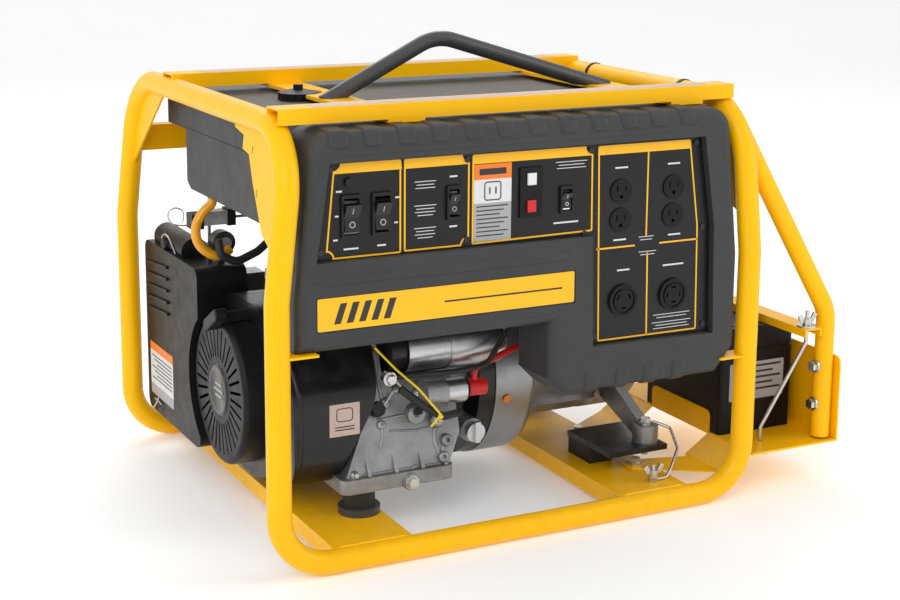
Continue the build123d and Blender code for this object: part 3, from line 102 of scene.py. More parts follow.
class CoverLooks(bpy.types.PropertyGroup):
    """Colours and ribs of the moulded covers."""

    moulding: bpy.props.FloatVectorProperty(
        name="Moulding", description="Grained grey of the front cover and the tank",
        subtype="COLOR", size=3, min=0, max=1, default=(0.036, 0.038, 0.039),
    )
    rib_count: bpy.props.IntProperty(
        name="Ribs", description="Raised grip pads along the top edge of the front cover",
        min=2, max=20, default=12,
    )
    rib_width: bpy.props.FloatProperty(
        name="Rib width", description="Width of one raised pad",
        unit="LENGTH", min=0.01, max=0.05, default=0.027,
    )
    rib_height: bpy.props.FloatProperty(
        name="Rib height", description="How far a pad stands off the cover",
        unit="LENGTH", min=0.0005, max=0.006, default=0.0032,
    )


class PrintLooks(bpy.types.PropertyGroup):
    """Printed lines, bands and labels."""

    ink: bpy.props.FloatVectorProperty(
        name="Line colour", description="Printed outlines and bands of the panel and the sign",
        subtype="COLOR", size=3, min=0, max=1, default=(0.96, 0.49, 0.0),
    )
    line_width: bpy.props.FloatProperty(
        name="Line width", description="Width of the printed outlines",
        unit="LENGTH", min=0.0005, max=0.005, default=0.0022,
    )
    band_height: bpy.props.FloatProperty(
        name="Band height", description="Height of the filled band at the top of a section",
        unit="LENGTH", min=0.004, max=0.03, default=0.0125,
    )


class StageLooks(bpy.types.PropertyGroup):
    """Floor and lights."""

    floor: bpy.props.FloatVectorProperty(
        name="Floor", description="Colour of the studio floor",
        subtype="COLOR", size=3, min=0, max=1, default=(0.96, 0.96, 0.96),
    )
    key_power: bpy.props.FloatProperty(
        name="Key light", description="Power of the large front light",
        unit="POWER", min=0, default=54.0,
    )
    fill_power: bpy.props.FloatProperty(
        name="Fill light", description="Power of the side and back lights",
        unit="POWER", min=0, default=30.0,
    )


def looks(name):
    """One group of settings from the scene."""
    return getattr(bpy.context.scene, name)


# ---------------------------------------------------------------- shader helpers
def node(tree, kind, values=None, **settings):
    """A new node with its settings and its input values."""
    made = tree.nodes.new(kind)
    for key, value in settings.items():
        setattr(made, key, value)
    for key, value in (values or {}).items():
        made.inputs[key].default_value = value
    return made


def group(name, inputs, outputs, wire):
    """A shader node group: named sockets outside, wired inside by the given function."""
    tree = bpy.data.node_groups.new(name, "ShaderNodeTree")
    for label, kind, default in inputs:
        socket = tree.interface.new_socket(label, in_out="INPUT", socket_type=kind)
        if default is not None:
            socket.default_value = default
    for label, kind in outputs:
        tree.interface.new_socket(label, in_out="OUTPUT", socket_type=kind)
    wire(tree, node(tree, "NodeGroupInput"), node(tree, "NodeGroupOutput"))
    return tree


def scaled_noise(tree, source, detail=4.0, rough=0.55):
    """Noise that takes its place and scale from the group's own inputs."""
    noise = node(tree, "ShaderNodeTexNoise", {"Detail": detail, "Roughness": rough})
    for socket in ("Vector", "Scale"):
        tree.links.new(source.outputs[socket], noise.inputs[socket])
    return noise


def arithmetic(tree, operation, a, b, clamp=False):
    """a and b through one Math node; each is a socket or a number."""
    made = node(tree, "ShaderNodeMath", operation=operation, use_clamp=clamp)
    for i, value in enumerate((a, b)):
        if isinstance(value, (int, float)):
            made.inputs[i].default_value = value
        else:
            tree.links.new(value, made.inputs[i])
    return made.outputs[0]


def remap(tree, value, low, high):
    """The value stretched so that low gives 0 and high gives 1."""
    made = node(tree, "ShaderNodeMapRange", {"From Min": low, "From Max": high})
    tree.links.new(value, made.inputs["Value"])
    return made.outputs["Result"]


def wire_mottle(tree, entry, leave):
    """Slow, soft change between Low and High."""
    noise = scaled_noise(tree, entry)
    made = node(tree, "ShaderNodeMapRange", {"From Min": 0.3, "From Max": 0.7})
    tree.links.new(noise.outputs["Fac"], made.inputs["Value"])
    tree.links.new(entry.outputs["Low"], made.inputs["To Min"])
    tree.links.new(entry.outputs["High"], made.inputs["To Max"])
    tree.links.new(made.outputs["Result"], leave.inputs["Value"])


def wire_grain(tree, entry, leave):
    """Pebbled moulding grain: rounded cells with finer noise on them."""
    cells = node(tree, "ShaderNodeTexVoronoi", feature="SMOOTH_F1")
    tree.links.new(entry.outputs["Vector"], cells.inputs["Vector"])
    tree.links.new(entry.outputs["Scale"], cells.inputs["Scale"])
    noise = scaled_noise(tree, entry, detail=3.0)
    mixed = arithmetic(tree, "ADD", cells.outputs["Distance"], noise.outputs["Fac"])
    tree.links.new(mixed, leave.inputs["Height"])


def wire_brush(tree, entry, leave):
    """Fine lines drawn out along one axis by squeezing the others."""
    stretch = node(tree, "ShaderNodeVectorMath", operation="MULTIPLY")
    tree.links.new(entry.outputs["Vector"], stretch.inputs[0])
    tree.links.new(entry.outputs["Stretch"], stretch.inputs[1])
    noise = node(tree, "ShaderNodeTexNoise", {"Detail": 3.0, "Scale": 1.0})
    tree.links.new(stretch.outputs["Vector"], noise.inputs["Vector"])
    tree.links.new(noise.outputs["Fac"], leave.inputs["Height"])


def wire_dust(tree, entry, leave):
    """Dust that lies on faces looking up, broken up by noise."""
    shape = node(tree, "ShaderNodeNewGeometry")
    split = node(tree, "ShaderNodeSeparateXYZ")
    tree.links.new(shape.outputs["Normal"], split.inputs["Vector"])
    upward = remap(tree, split.outputs["Z"], 0.35, 1.0)
    noise = scaled_noise(tree, entry, detail=6.0)
    broken = remap(tree, noise.outputs["Fac"], 0.35, 0.75)
    mask = arithmetic(tree, "MULTIPLY", upward, broken)
    mask = arithmetic(tree, "MULTIPLY", mask, entry.outputs["Amount"], clamp=True)
    tree.links.new(mask, leave.inputs["Mask"])


def wire_scuffs(tree, entry, leave):
    """Sparse rubbed marks: the crests of a warped noise, kept to patches."""
    fine = node(tree, "ShaderNodeTexNoise", {"Detail": 8.0, "Roughness": 0.7, "Distortion": 1.6})
    tree.links.new(entry.outputs["Vector"], fine.inputs["Vector"])
    tree.links.new(entry.outputs["Scale"], fine.inputs["Scale"])
    crest = remap(tree, fine.outputs["Fac"], 0.66, 0.74)
    patch = node(tree, "ShaderNodeTexNoise", {"Scale": 7.0, "Detail": 2.0})
    tree.links.new(entry.outputs["Vector"], patch.inputs["Vector"])
    wide = remap(tree, patch.outputs["Fac"], 0.5, 0.66)
    mask = arithmetic(tree, "MULTIPLY", crest, wide)
    mask = arithmetic(tree, "MULTIPLY", mask, entry.outputs["Amount"], clamp=True)
    tree.links.new(mask, leave.inputs["Mask"])


def wire_low_grime(tree, entry, leave):
    """Dirt that thickens towards the floor."""
    split = node(tree, "ShaderNodeSeparateXYZ")
    tree.links.new(entry.outputs["Vector"], split.inputs["Vector"])
    low = remap(tree, split.outputs["Z"], 0.16, 0.0)
    noise = scaled_noise(tree, entry, detail=7.0, rough=0.65)
    broken = remap(tree, noise.outputs["Fac"], 0.42, 0.7)
    mask = arithmetic(tree, "MULTIPLY", low, broken)
    mask = arithmetic(tree, "MULTIPLY", mask, entry.outputs["Amount"], clamp=True)
    tree.links.new(mask, leave.inputs["Mask"])


VECTOR = ("Vector", "NodeSocketVector", None)
MASK = [("Mask", "NodeSocketFloat")]


def make_groups():
    """Builds every shared effect once."""

    def number(label, default):
        return (label, "NodeSocketFloat", default)

    amount = [VECTOR, number("Scale", 20.0), number("Amount", 0.5)]
    group(
        "Mottle", [VECTOR, number("Scale", 20.0), number("Low", 0.9), number("High", 1.1)],
        [("Value", "NodeSocketFloat")], wire_mottle,
    )
    group("Moulding Grain", [VECTOR, number("Scale", 900.0)], [("Height", "NodeSocketFloat")], wire_grain)
    group(
        "Brush Lines", [VECTOR, ("Stretch", "NodeSocketVector", (40.0, 900.0, 900.0))],
        [("Height", "NodeSocketFloat")], wire_brush,
    )
    group("Settled Dust", amount, MASK, wire_dust)
    group("Scuffs", amount, MASK, wire_scuffs)
    group("Low Grime", amount, MASK, wire_low_grime)


def use(tree, name, values):
    """A group placed in a material and fed with Object coordinates."""
    made = node(tree, "ShaderNodeGroup", node_tree=bpy.data.node_groups[name])
    for key, value in values.items():
        made.inputs[key].default_value = value
    place = tree.nodes.get("Place") or node(tree, "ShaderNodeTexCoord", name="Place")
    tree.links.new(place.outputs["Object"], made.inputs["Vector"])
    return made


def blend_colour(tree, factor, under, over):
    """under below over, by a mask; over is a plain colour."""
    mix = node(tree, "ShaderNodeMix", data_type="RGBA")
    tree.links.new(factor, mix.inputs["Factor"])
    if isinstance(under, tuple):
        mix.inputs["A"].default_value = under
    else:
        tree.links.new(under, mix.inputs["A"])
    mix.inputs["B"].default_value = over
    return mix.outputs["Result"]


def finish(
    name, colour, roughness=0.5, metallic=0.0, coat=0.0, spread=0.06, mottle=(14.0, 0.93, 1.06),
    grain=None, brush=None, peel=None, dust=0.0, scuffs=None, grime=0.0, specular=0.5,
):
    """One material: a mottled colour under dust, scuffs and grime, with its own bump."""
    made = bpy.data.materials.new(name)
    made.use_nodes = True
    tree = made.node_tree
    shader = tree.nodes["Principled BSDF"]
    shader.inputs["Metallic"].default_value = metallic
    shader.inputs["Coat Weight"].default_value = coat
    shader.inputs["Coat Roughness"].default_value = 0.12
    shader.inputs["Specular IOR Level"].default_value = specular
    tone = use(tree, "Mottle", {"Scale": mottle[0], "Low": mottle[1], "High": mottle[2]})
    base = tuple(colour) + (1.0,)
    scaled = node(tree, "ShaderNodeVectorMath", operation="SCALE")
    scaled.inputs[0].default_value = base[:3]
    tree.links.new(tone.outputs["Value"], scaled.inputs["Scale"])
    shade = scaled.outputs["Vector"]
    if scuffs:
        rubbed = use(tree, "Scuffs", {"Scale": scuffs[0], "Amount": scuffs[1]})
        shade = blend_colour(tree, rubbed.outputs["Mask"], shade, tuple(scuffs[2]) + (1.0,))
    if grime:
        dirt = use(tree, "Low Grime", {"Scale": 60.0, "Amount": grime})
        shade = blend_colour(tree, dirt.outputs["Mask"], shade, (0.09, 0.075, 0.055, 1.0))
    if dust:
        lying = use(tree, "Settled Dust", {"Scale": 34.0, "Amount": dust})
        shade = blend_colour(tree, lying.outputs["Mask"], shade, (0.42, 0.4, 0.37, 1.0))
    tree.links.new(shade, shader.inputs["Base Color"])
    rough = use(
        tree, "Mottle",
        {"Scale": mottle[0] * 3.1, "Low": roughness - spread, "High": roughness + spread},
    )
    tree.links.new(rough.outputs["Value"], shader.inputs["Roughness"])
    height = None
    if grain:
        height = use(tree, "Moulding Grain", {"Scale": grain[0]}).outputs["Height"]
        strength, depth = grain[1], 0.0004
    elif brush:
        height = use(tree, "Brush Lines", {"Stretch": brush[0]}).outputs["Height"]
        strength, depth = brush[1], 0.0002
    elif peel:
        height = use(tree, "Mottle", {"Scale": peel[0], "Low": 0.0, "High": 1.0}).outputs["Value"]
        strength, depth = peel[1], 0.0004
    if height is not None:
        bump = node(tree, "ShaderNodeBump", {"Strength": strength, "Distance": depth})
        tree.links.new(height, bump.inputs["Height"])
        tree.links.new(bump.outputs["Normal"], shader.inputs["Normal"])
    FINISHES[name] = made
    return made


GREY_RUB = (0.16, 0.16, 0.165)


def painted_finishes():
    """Painted steel and moulded plastics."""
    painted = looks("frame_looks")
    cover = looks("cover_looks")
    finish(
        "yellow_paint", painted.paint, painted.gloss, coat=0.05, spread=0.05, mottle=(9.0, 0.98, 1.02),
        peel=(330.0, 0.1), dust=0.02, scuffs=(95.0, 0.1, (0.6, 0.34, 0.03)), grime=0.12, specular=0.2,
    )
    finish(
        "grey_paint", painted.bail, 0.42, coat=0.15, peel=(360.0, 0.2), dust=0.08,
        scuffs=(110.0, 0.4, GREY_RUB),
    )
    finish(
        "black_paint", (0.007, 0.007, 0.0075), 0.32, coat=0.1, specular=0.4, peel=(300.0, 0.2), dust=0.12,
        scuffs=(100.0, 0.3, GREY_RUB),
    )
    finish(
        "grey_moulding", cover.moulding, 0.5, specular=0.35, grain=(1100.0, 0.35), dust=0.1,
        scuffs=(120.0, 0.25, (0.1, 0.1, 0.105)), mottle=(11.0, 0.92, 1.08),
    )
    finish("black_moulding", (0.006, 0.006, 0.0065), 0.4, specular=0.22, grain=(1300.0, 0.25), dust=0.03)
    finish("panel_black", (0.006, 0.006, 0.0065), 0.34, specular=0.35, grain=(1500.0, 0.12), spread=0.04)
    finish("black_gloss", (0.006, 0.006, 0.0065), 0.26, coat=0.15, grain=(1500.0, 0.08), spread=0.04)


def metal_finishes():
    """Bare, plated and cast metals."""
    finish(
        "zinc_steel", (0.62, 0.61, 0.58), 0.3, metallic=1.0, brush=((60.0, 1200.0, 1200.0), 0.15),
        mottle=(60.0, 0.86, 1.06),
    )
    finish(
        "dark_steel", (0.3, 0.3, 0.31), 0.36, metallic=1.0, brush=((900.0, 60.0, 900.0), 0.25),
        mottle=(40.0, 0.8, 1.1),
    )
    finish(
        "cast_aluminium", (0.33, 0.335, 0.34), 0.42, metallic=0.85, grain=(420.0, 0.7), dust=0.04,
        mottle=(26.0, 0.74, 1.18), scuffs=(70.0, 0.5, (0.28, 0.27, 0.26)), grime=0.35,
    )
    finish(
        "turned_aluminium", (0.6, 0.61, 0.62), 0.32, metallic=1.0, brush=((900.0, 40.0, 900.0), 0.2),
        mottle=(30.0, 0.85, 1.08),
    )
    finish("iron", (0.16, 0.155, 0.15), 0.6, metallic=0.6, grain=(500.0, 0.8), mottle=(30.0, 0.8, 1.15))
    finish(
        "drum_steel", (0.34, 0.345, 0.35), 0.36, metallic=0.8, brush=((900.0, 70.0, 900.0), 0.15),
        mottle=(16.0, 0.85, 1.1), scuffs=(80.0, 0.35, (0.2, 0.2, 0.2)),
    )
    finish("screw_black", (0.05, 0.05, 0.052), 0.4, metallic=0.7, grain=(500.0, 0.3))
    finish("lead_grey", (0.3, 0.3, 0.31), 0.55, metallic=0.7, grain=(700.0, 0.5))
    finish(
        "laminations", (0.42, 0.42, 0.425), 0.42, metallic=0.8,
        brush=((2600.0, 30.0, 30.0), 0.7), mottle=(40.0, 0.8, 1.1),
    )


def soft_finishes():
    """Rubber, hose, wire and the two small buttons."""
    finish("black_rubber", (0.01, 0.01, 0.01), 0.55, grain=(800.0, 0.4), dust=0.06)
    finish("red_rubber", (0.6, 0.012, 0.01), 0.38, grain=(900.0, 0.2), spread=0.05)
    finish("amber_rubber", (0.78, 0.34, 0.005), 0.24, coat=0.3, peel=(120.0, 0.15))
    finish("yellow_wire", (0.82, 0.58, 0.01), 0.4, peel=(500.0, 0.15))
    finish("white_button", (0.72, 0.72, 0.7), 0.32, grain=(1400.0, 0.1), mottle=(60.0, 0.96, 1.02))
    finish("red_button", (0.58, 0.008, 0.012), 0.3, grain=(1400.0, 0.1), mottle=(60.0, 0.94, 1.04))


def print_finishes():
    """Inks and label stocks."""
    ink = looks("print_looks").ink
    finish("print_yellow", ink, 0.4, peel=(600.0, 0.1), mottle=(30.0, 0.97, 1.02), spread=0.03)
    for name, colour, mottle in (
        ("print_white", (0.68, 0.68, 0.67), (80.0, 0.96, 1.02)),
        ("print_grey", (0.36, 0.365, 0.37), (80.0, 0.95, 1.03)),
        ("print_orange", (0.85, 0.2, 0.012), (60.0, 0.95, 1.03)),
        ("print_dark", (0.02, 0.021, 0.023), (60.0, 0.9, 1.05)),
        ("print_pink", (0.56, 0.43, 0.38), (60.0, 0.96, 1.03)),
    ):
        finish(name, colour, 0.42, peel=(700.0, 0.08), mottle=mottle)


# ---------------------------------------------------------------- painting the CAD nodes
def assign_slots():
    """Every CAD node takes the finish of its slot."""
    for sub in frame["record"]["subparts"]:
        mesh = NODES[sub["node"]].data
        mesh.materials.clear()
        mesh.materials.append(FINISHES[sub["material_slot"]])


def paint_faces(name, finish_name, inside):
    """Faces of a CAD node whose centres are inside a region take another finish.

    inside(x, y, z) works on whole arrays, with x measured from the middle of the frame."""
    mesh = NODES[name].data
    count = len(mesh.polygons)
    centres = np.empty(count * 3)
    mesh.polygons.foreach_get("center", centres)
    x, y, z = centres.reshape(-1, 3).T
    slots = np.empty(count, np.int32)
    mesh.polygons.foreach_get("material_index", slots)
    mesh.materials.append(FINISHES[finish_name])
    slots[inside(x - MID_X, y, z)] = len(mesh.materials) - 1
    mesh.polygons.foreach_set("material_index", slots)


# ---------------------------------------------------------------- surfaces
def unit(vectors):
    """The vectors brought to length 1."""
    return vectors / np.linalg.norm(vectors, axis=-1, keepdims=True)


def piece(name, points, faces, finish_name, body=FIXED, slot=None, corner=40.0):
    """A mesh piece with merged doubles, outward faces and smooth shading up to a corner angle."""
    mesh = bpy.data.meshes.new(name)
    mesh.from_pydata(np.asarray(points).reshape(-1, 3).tolist(), [], faces)
    work = bmesh.new()
    work.from_mesh(mesh)
    bmesh.ops.remove_doubles(work, verts=work.verts, dist=1e-6)
    bmesh.ops.dissolve_degenerate(work, edges=work.edges, dist=1e-7)
    bmesh.ops.recalc_face_normals(work, faces=work.faces)
    work.to_mesh(mesh)
    work.free()
    mesh.polygons.foreach_set("use_smooth", np.ones(len(mesh.polygons), bool))
    mesh.set_sharp_from_angle(angle=math.radians(corner))
    mesh.materials.append(FINISHES[finish_name])
    made = bpy.data.objects.new(name, mesh)
    bpy.context.scene.collection.objects.link(made)
    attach(made, body)
    return made


def grid_faces(rows, columns, start=0, wrap_rows=False, wrap_columns=False):
    """Four-sided faces of a grid of points counted row by row, closed round where asked."""
    index = start + np.arange(rows * columns).reshape(rows, columns)
    if wrap_rows:
        index = np.vstack([index, index[:1]])
    if wrap_columns:
        index = np.hstack([index, index[:, :1]])
    a, b = index[:-1, :-1], index[1:, :-1]
    c, d = index[1:, 1:], index[:-1, 1:]
    return np.stack([a, b, c, d], -1).reshape(-1, 4).tolist()


def stitched(front, back):
    """Points and faces of a closed skin: two grids of the same size and a wall round their rims."""
    rows, columns = front.shape[:2]
    total = rows * columns
    index = np.arange(total).reshape(rows, columns)
    rim = np.concatenate([index[0, :-1], index[:-1, -1], index[-1, :0:-1], index[:0:-1, 0]])
    ahead = np.roll(rim, -1)
    walls = np.stack([rim, ahead, ahead + total, rim + total], -1).tolist()
    points = np.concatenate([front.reshape(-1, 3), back.reshape(-1, 3)])
    return points, grid_faces(rows, columns) + grid_faces(rows, columns, total) + walls


def joined(parts):
    """Several (points, faces) pairs as one."""
    points, faces, start = [], [], 0
    for some_points, some_faces in parts:
        some_points = np.asarray(some_points).reshape(-1, 3)
        points.append(some_points)
        faces += [[start + i for i in face] for face in some_faces]
        start += len(some_points)
    return np.concatenate(points), faces


def fitting(name, skins, slot, corner=60):
    """A piece of joined skins in the finish of one of the CAD model's slots."""
    piece(name, *joined(skins), slot, slot=slot, corner=corner)


def printed(name, skins, finish_name):
    """A thin flat-edged piece of joined skins: print, label, tape or strip."""
    piece(name, *joined(skins), finish_name, corner=30)


def swept(path, radius, sides=12):
    """A round section along a path: each ring stands square to the path, from one side direction."""
    path = np.asarray(path, float)
    along = unit(np.gradient(path, axis=0))
    axes = np.eye(3)
    side_axis = axes[np.argmin(np.abs(along @ axes).max(0))]
    across = unit(np.cross(along, side_axis))
    up = np.cross(along, across)
    turn = np.linspace(0, 2 * np.pi, sides, endpoint=False)
    ring = across[:, None] * np.cos(turn)[:, None] + up[:, None] * np.sin(turn)[:, None]
    wide = np.broadcast_to(np.asarray(radius, float), len(path))
    points = path[:, None] + ring * wide[:, None, None]
    last = (len(path) - 1) * sides
    caps = [list(range(sides)), list(range(last, last + sides))]
    return points.reshape(-1, 3), grid_faces(len(path), sides, wrap_columns=True) + caps


def flowing(points, count=40):
    """A smooth line through the given points: each stretch is a cubic set by its neighbours."""
    given = np.asarray(points, float)
    padded = np.vstack([2 * given[0] - given[1], given, 2 * given[-1] - given[-2]])
    spot = np.linspace(0, len(given) - 1 - 1e-9, count)
    i = spot.astype(int)
    t = (spot - i)[:, None]
    p0, p1, p2, p3 = padded[i], padded[i + 1], padded[i + 2], padded[i + 3]
    return 0.5 * (
        2 * p1 + (p2 - p0) * t + (2 * p0 - 5 * p1 + 4 * p2 - p3) * t**2
        + (3 * p1 - p0 - 3 * p2 + p3) * t**3
    )


def spun(profile, origin, axis, sides=32, closed=False):
    """A profile of (radius, height) turned round an axis; a closed profile makes a ring."""
    profile = np.asarray(profile, float)
    axis = unit(np.asarray(axis, float))
    helper = np.array([0.0, 0.0, 1.0]) if abs(axis[2]) < 0.9 else np.array([1.0, 0.0, 0.0])
    first = unit(np.cross(axis, helper))
    second = np.cross(axis, first)
    turn = np.linspace(0, 2 * np.pi, sides, endpoint=False)
    spoke = first * np.cos(turn)[:, None] + second * np.sin(turn)[:, None]
    points = np.asarray(origin) + profile[:, :1, None] * spoke + profile[:, 1:, None] * axis
    return points.reshape(-1, 3), grid_faces(len(profile), sides, 0, closed, True)


def corner_line(corners, steps=7):
    """A closed outline from (a, b, r) corners: r above 0 rounds a corner, below 0 bites a round notch."""
    made = []
    for i, (a, b, r) in enumerate(corners):
        here = np.array([a, b])
        if r == 0:
            made.append(here[None])
            continue
        back = unit(np.array(corners[i - 1][:2]) - here)
        ahead = unit(np.array(corners[(i + 1) % len(corners)][:2]) - here)
        start, end = here + back * abs(r), here + ahead * abs(r)
        t = np.linspace(0, 1, steps)[:, None]
        if r > 0:
            made.append((1 - t) ** 2 * start + 2 * t * (1 - t) * here + t**2 * end)
        else:
            swing = t * np.pi / 2
            made.append(here + back * abs(r) * np.cos(swing) + ahead * abs(r) * np.sin(swing))
    return np.concatenate(made)


def inward(outline, width):
    """The outline moved to its inner side by a width, corner by corner."""
    ahead = unit(np.roll(outline, -1, 0) - outline)
    back = np.roll(ahead, 1, 0)
    area = np.sum(outline[:, 0] * np.roll(outline[:, 1], -1) - np.roll(outline[:, 0], -1) * outline[:, 1])
    side = 1.0 if area > 0 else -1.0
    normals = np.stack([-(ahead + back)[:, 1], (ahead + back)[:, 0]], -1)
    normals = unit(normals) * side
    face = np.stack([-ahead[:, 1], ahead[:, 0]], -1) * side
    stretch = np.clip(np.sum(normals * face, -1, keepdims=True), 0.5, 1.0)
    return outline + normals * width / stretch


def lifted(outline, axis, depth):
    """A flat outline placed square to x, y or z at a depth."""
    a, b = outline[:, 0], outline[:, 1]
    d = np.full(len(a), depth)
    return np.stack({"x": (d, a, b), "y": (a, d, b), "z": (a, b, d)}[axis], -1)


def plate(near, far):
    """A plate between two matching outlines, joined by its edge."""
    count = len(near)
    ring = np.arange(count)
    ahead = np.roll(ring, -1)
    walls = np.stack([ring, ahead, ahead + count, ring + count], -1).tolist()
    return np.concatenate([near, far]), [ring.tolist(), (ring + count).tolist()] + walls


def ribbon(rings):
    """A closed line from the four rings of its edges, taken in turn."""
    return np.concatenate(rings), grid_faces(len(rings), len(rings[0]), 0, True, True)


def slab(outline, axis, near, far):
    """A flat plate: the outline at two depths, joined by its edge."""
    return plate(lifted(outline, axis, near), lifted(outline, axis, far))


def band(outline, width, axis, near, far):
    """A flat line of one width that follows a closed outline."""
    inner = inward(outline, width)
    return ribbon([
        lifted(outline, axis, near), lifted(inner, axis, near), lifted(inner, axis, far),
        lifted(outline, axis, far),
    ])


def rectangle(a0, a1, b0, b1, r=0.0):
    """A rectangle's outline, with its corners rounded by r."""
    return corner_line([(a0, b0, r), (a1, b0, r), (a1, b1, r), (a0, b1, r)])


def shifted(corners):
    """Panel corners given from the middle of the frame."""
    return [(MID_X + a, b, r) for a, b, r in corners]


# ---------------------------------------------------------------- front cover
FACE_Y = SHROUD_LO.y
TOP_Z = SHROUD_HI.z
LOW_Z = SHROUD_LO.z
COVER_EDGE = 0.014
RIB_FROM_X = -0.262
RIB_TO_X = 0.252
RIB_DROP = 0.021
RIB_REACH = 0.027
LOWER_RIBS = (0.107, 0.156, 0.202, 0.249)
LOWER_RIB_DROP = 0.029
LOWER_RIB_REACH = 0.03
LOWER_RIB_SHARE = 0.9
NOSE_SHARE = 0.16
TAIL_SHARE = 0.05
RIB_SUNK = 0.0008
RIB_ROOT = 0.0006


def edge_profile(s, drop, reach, top):
    """Point and outward direction at length s along face, round edge and top or underside.

    The three stretches are a straight climb, a quarter turn and a straight run backwards."""
    flip = 1.0 if top else -1.0
    edge_z = TOP_Z if top else LOW_Z
    rise = drop - COVER_EDGE
    quarter = COVER_EDGE * np.pi / 2
    turn = np.clip((s - rise) / COVER_EDGE, 0, np.pi / 2)
    climb = np.clip(s, 0, rise)
    run = np.clip(s - rise - quarter, 0, reach)
    y = FACE_Y + COVER_EDGE * (1 - np.cos(turn)) + run
    z = edge_z - flip * (drop - climb - COVER_EDGE * np.sin(turn))
    return y, z, -np.cos(turn), flip * np.sin(turn)


def rib_skin(x, drop, reach, width, height, top=True):
    """One grip pad: a rounded bump laid over the edge profile, with a round nose and a short tail."""
    length = drop - COVER_EDGE + COVER_EDGE * np.pi / 2 + reach
    s = np.linspace(0, 1, 40)[:, None] * np.ones(25)
    t = np.linspace(-1, 1, 25)[None, :] * np.ones((40, 1))
    round_off = np.clip((NOSE_SHARE - s) / NOSE_SHARE, 0, 1)
    half = width / 2 * np.sqrt(np.clip(1 - 0.55 * round_off**2, 0, 1))
    y, z, out_y, out_z = edge_profile(s * length, drop, reach, top)
    bulge = (1 - np.abs(t) ** 5) * np.clip(1 - round_off**3, 0, 1)
    ends = np.clip((1 - s) / TAIL_SHARE, 0, 1)
    lift = height * np.sqrt(np.clip(bulge, 0, 1)) * np.sqrt(ends)
    at_x = x + t * half

    def layer(off):
        return np.stack([at_x, y + out_y * off, z + out_z * off], -1)

    return stitched(layer(lift - RIB_SUNK), layer(np.full_like(lift, -RIB_SUNK - RIB_ROOT)))


def cover_ribs():
    """Row of pads over the top edge, and the short row under the outlets."""
    cover = looks("cover_looks")
    spots = MID_X + np.linspace(RIB_FROM_X, RIB_TO_X, cover.rib_count) - cover.rib_width / 2
    tops = [rib_skin(x, RIB_DROP, RIB_REACH, cover.rib_width, cover.rib_height) for x in spots]
    fitting("shroud_top_pads", tops, "grey_moulding")
    width = cover.rib_width * LOWER_RIB_SHARE
    low = [
        rib_skin(MID_X + x - 0.012, LOWER_RIB_DROP, LOWER_RIB_REACH, width, cover.rib_height, top=False)
        for x in LOWER_RIBS
    ]
    fitting("shroud_lower_pads", low, "grey_moulding")


def soft_ridge(line, width, height):
    """A low rounded ridge on the cover's face along a line: half a flat oval, sunk at its rims."""
    line = np.asarray(line, float)
    along = unit(np.gradient(line, axis=0))
    side = np.stack([-along[:, 1], along[:, 0]], -1)
    t = np.linspace(-1, 1, 11)
    taper = np.sqrt(np.clip(np.sin(np.linspace(0, np.pi, len(line))) * 6, 0, 1))
    across = line[:, None] + side[:, None] * t[:, None] * (width / 2 * taper)[:, None, None]
    lift = height * (1 - t**2)[None] * taper[:, None] - 0.0004
    front = np.stack([across[..., 0], FACE_Y - lift, across[..., 1]], -1)
    back = np.stack([across[..., 0], np.full_like(lift, FACE_Y + 0.001), across[..., 1]], -1)
    return stitched(front, back)


def straight(a, b, count=24):
    """Evenly spaced points from a to b."""
    return np.asarray(a) + np.linspace(0, 1, count)[:, None] * (np.asarray(b) - np.asarray(a))


def cover_ridges():
    """Moulded steps: above the sign, below it, and one long step high across the cover."""
    lines = [
        (straight((MID_X - 0.316, 0.388), (MID_X + 0.062, 0.388)), 0.014, 0.0028),
        (straight((MID_X - 0.316, 0.3135), (MID_X + 0.036, 0.3135)), 0.006, 0.0016),
        (straight((MID_X - 0.3, 0.5475), (MID_X + 0.272, 0.5475)), 0.009, 0.002),
    ]
    skins = [soft_ridge(line, width, height) for line, width, height in lines]
    fitting("shroud_ridges", skins, "grey_moulding")


# ---------------------------------------------------------------- panel print
SECTIONS = {
    "engine": [
        (-0.279, 0.533, -0.009), (-0.187, 0.533, 0.003), (-0.187, 0.413, 0.003), (-0.291, 0.413, -0.010),
    ],
    "voltage": [
        (-0.183, 0.533, 0.003), (-0.090, 0.533, -0.010), (-0.090, 0.414, -0.011), (-0.183, 0.414, 0.003),
    ],
    "circuit": [
        (-0.086, 0.532, 0.003), (0.095, 0.532, -0.011), (0.0965, 0.4165, 0.003), (-0.086, 0.4145, 0.003),
    ],
    "outlet": [
        (0.103, 0.531, 0.003), (0.251, 0.531, 0.003), (0.268, 0.41, 0.0), (0.271, 0.261, 0.003),
        (0.109, 0.2615, 0.003),
    ],
}
OUTLET_DIVIDE_X = (0.183, 0.188)
OUTLET_DIVIDE_Z = 0.3905
OUTLET_TOP, OUTLET_LOW = 0.531, 0.262


def header(section, height):
    """The filled band at the top of a section, between its two upper corners."""
    left = min(section[:2], key=lambda corner: corner[0])
    right = max(section[:2], key=lambda corner: corner[0])
    low = left[1] - height
    return shifted([(left[0], low, 0), left, right, (right[0] + (0.001 if right[2] > 0 else 0.0), low, 0)])


def print_skin(outline):
    """One printed shape, half its thickness into the panel's face."""
    return slab(outline, "y", PANEL_FACE - PRINT_THICK, PANEL_FACE + PRINT_THICK)


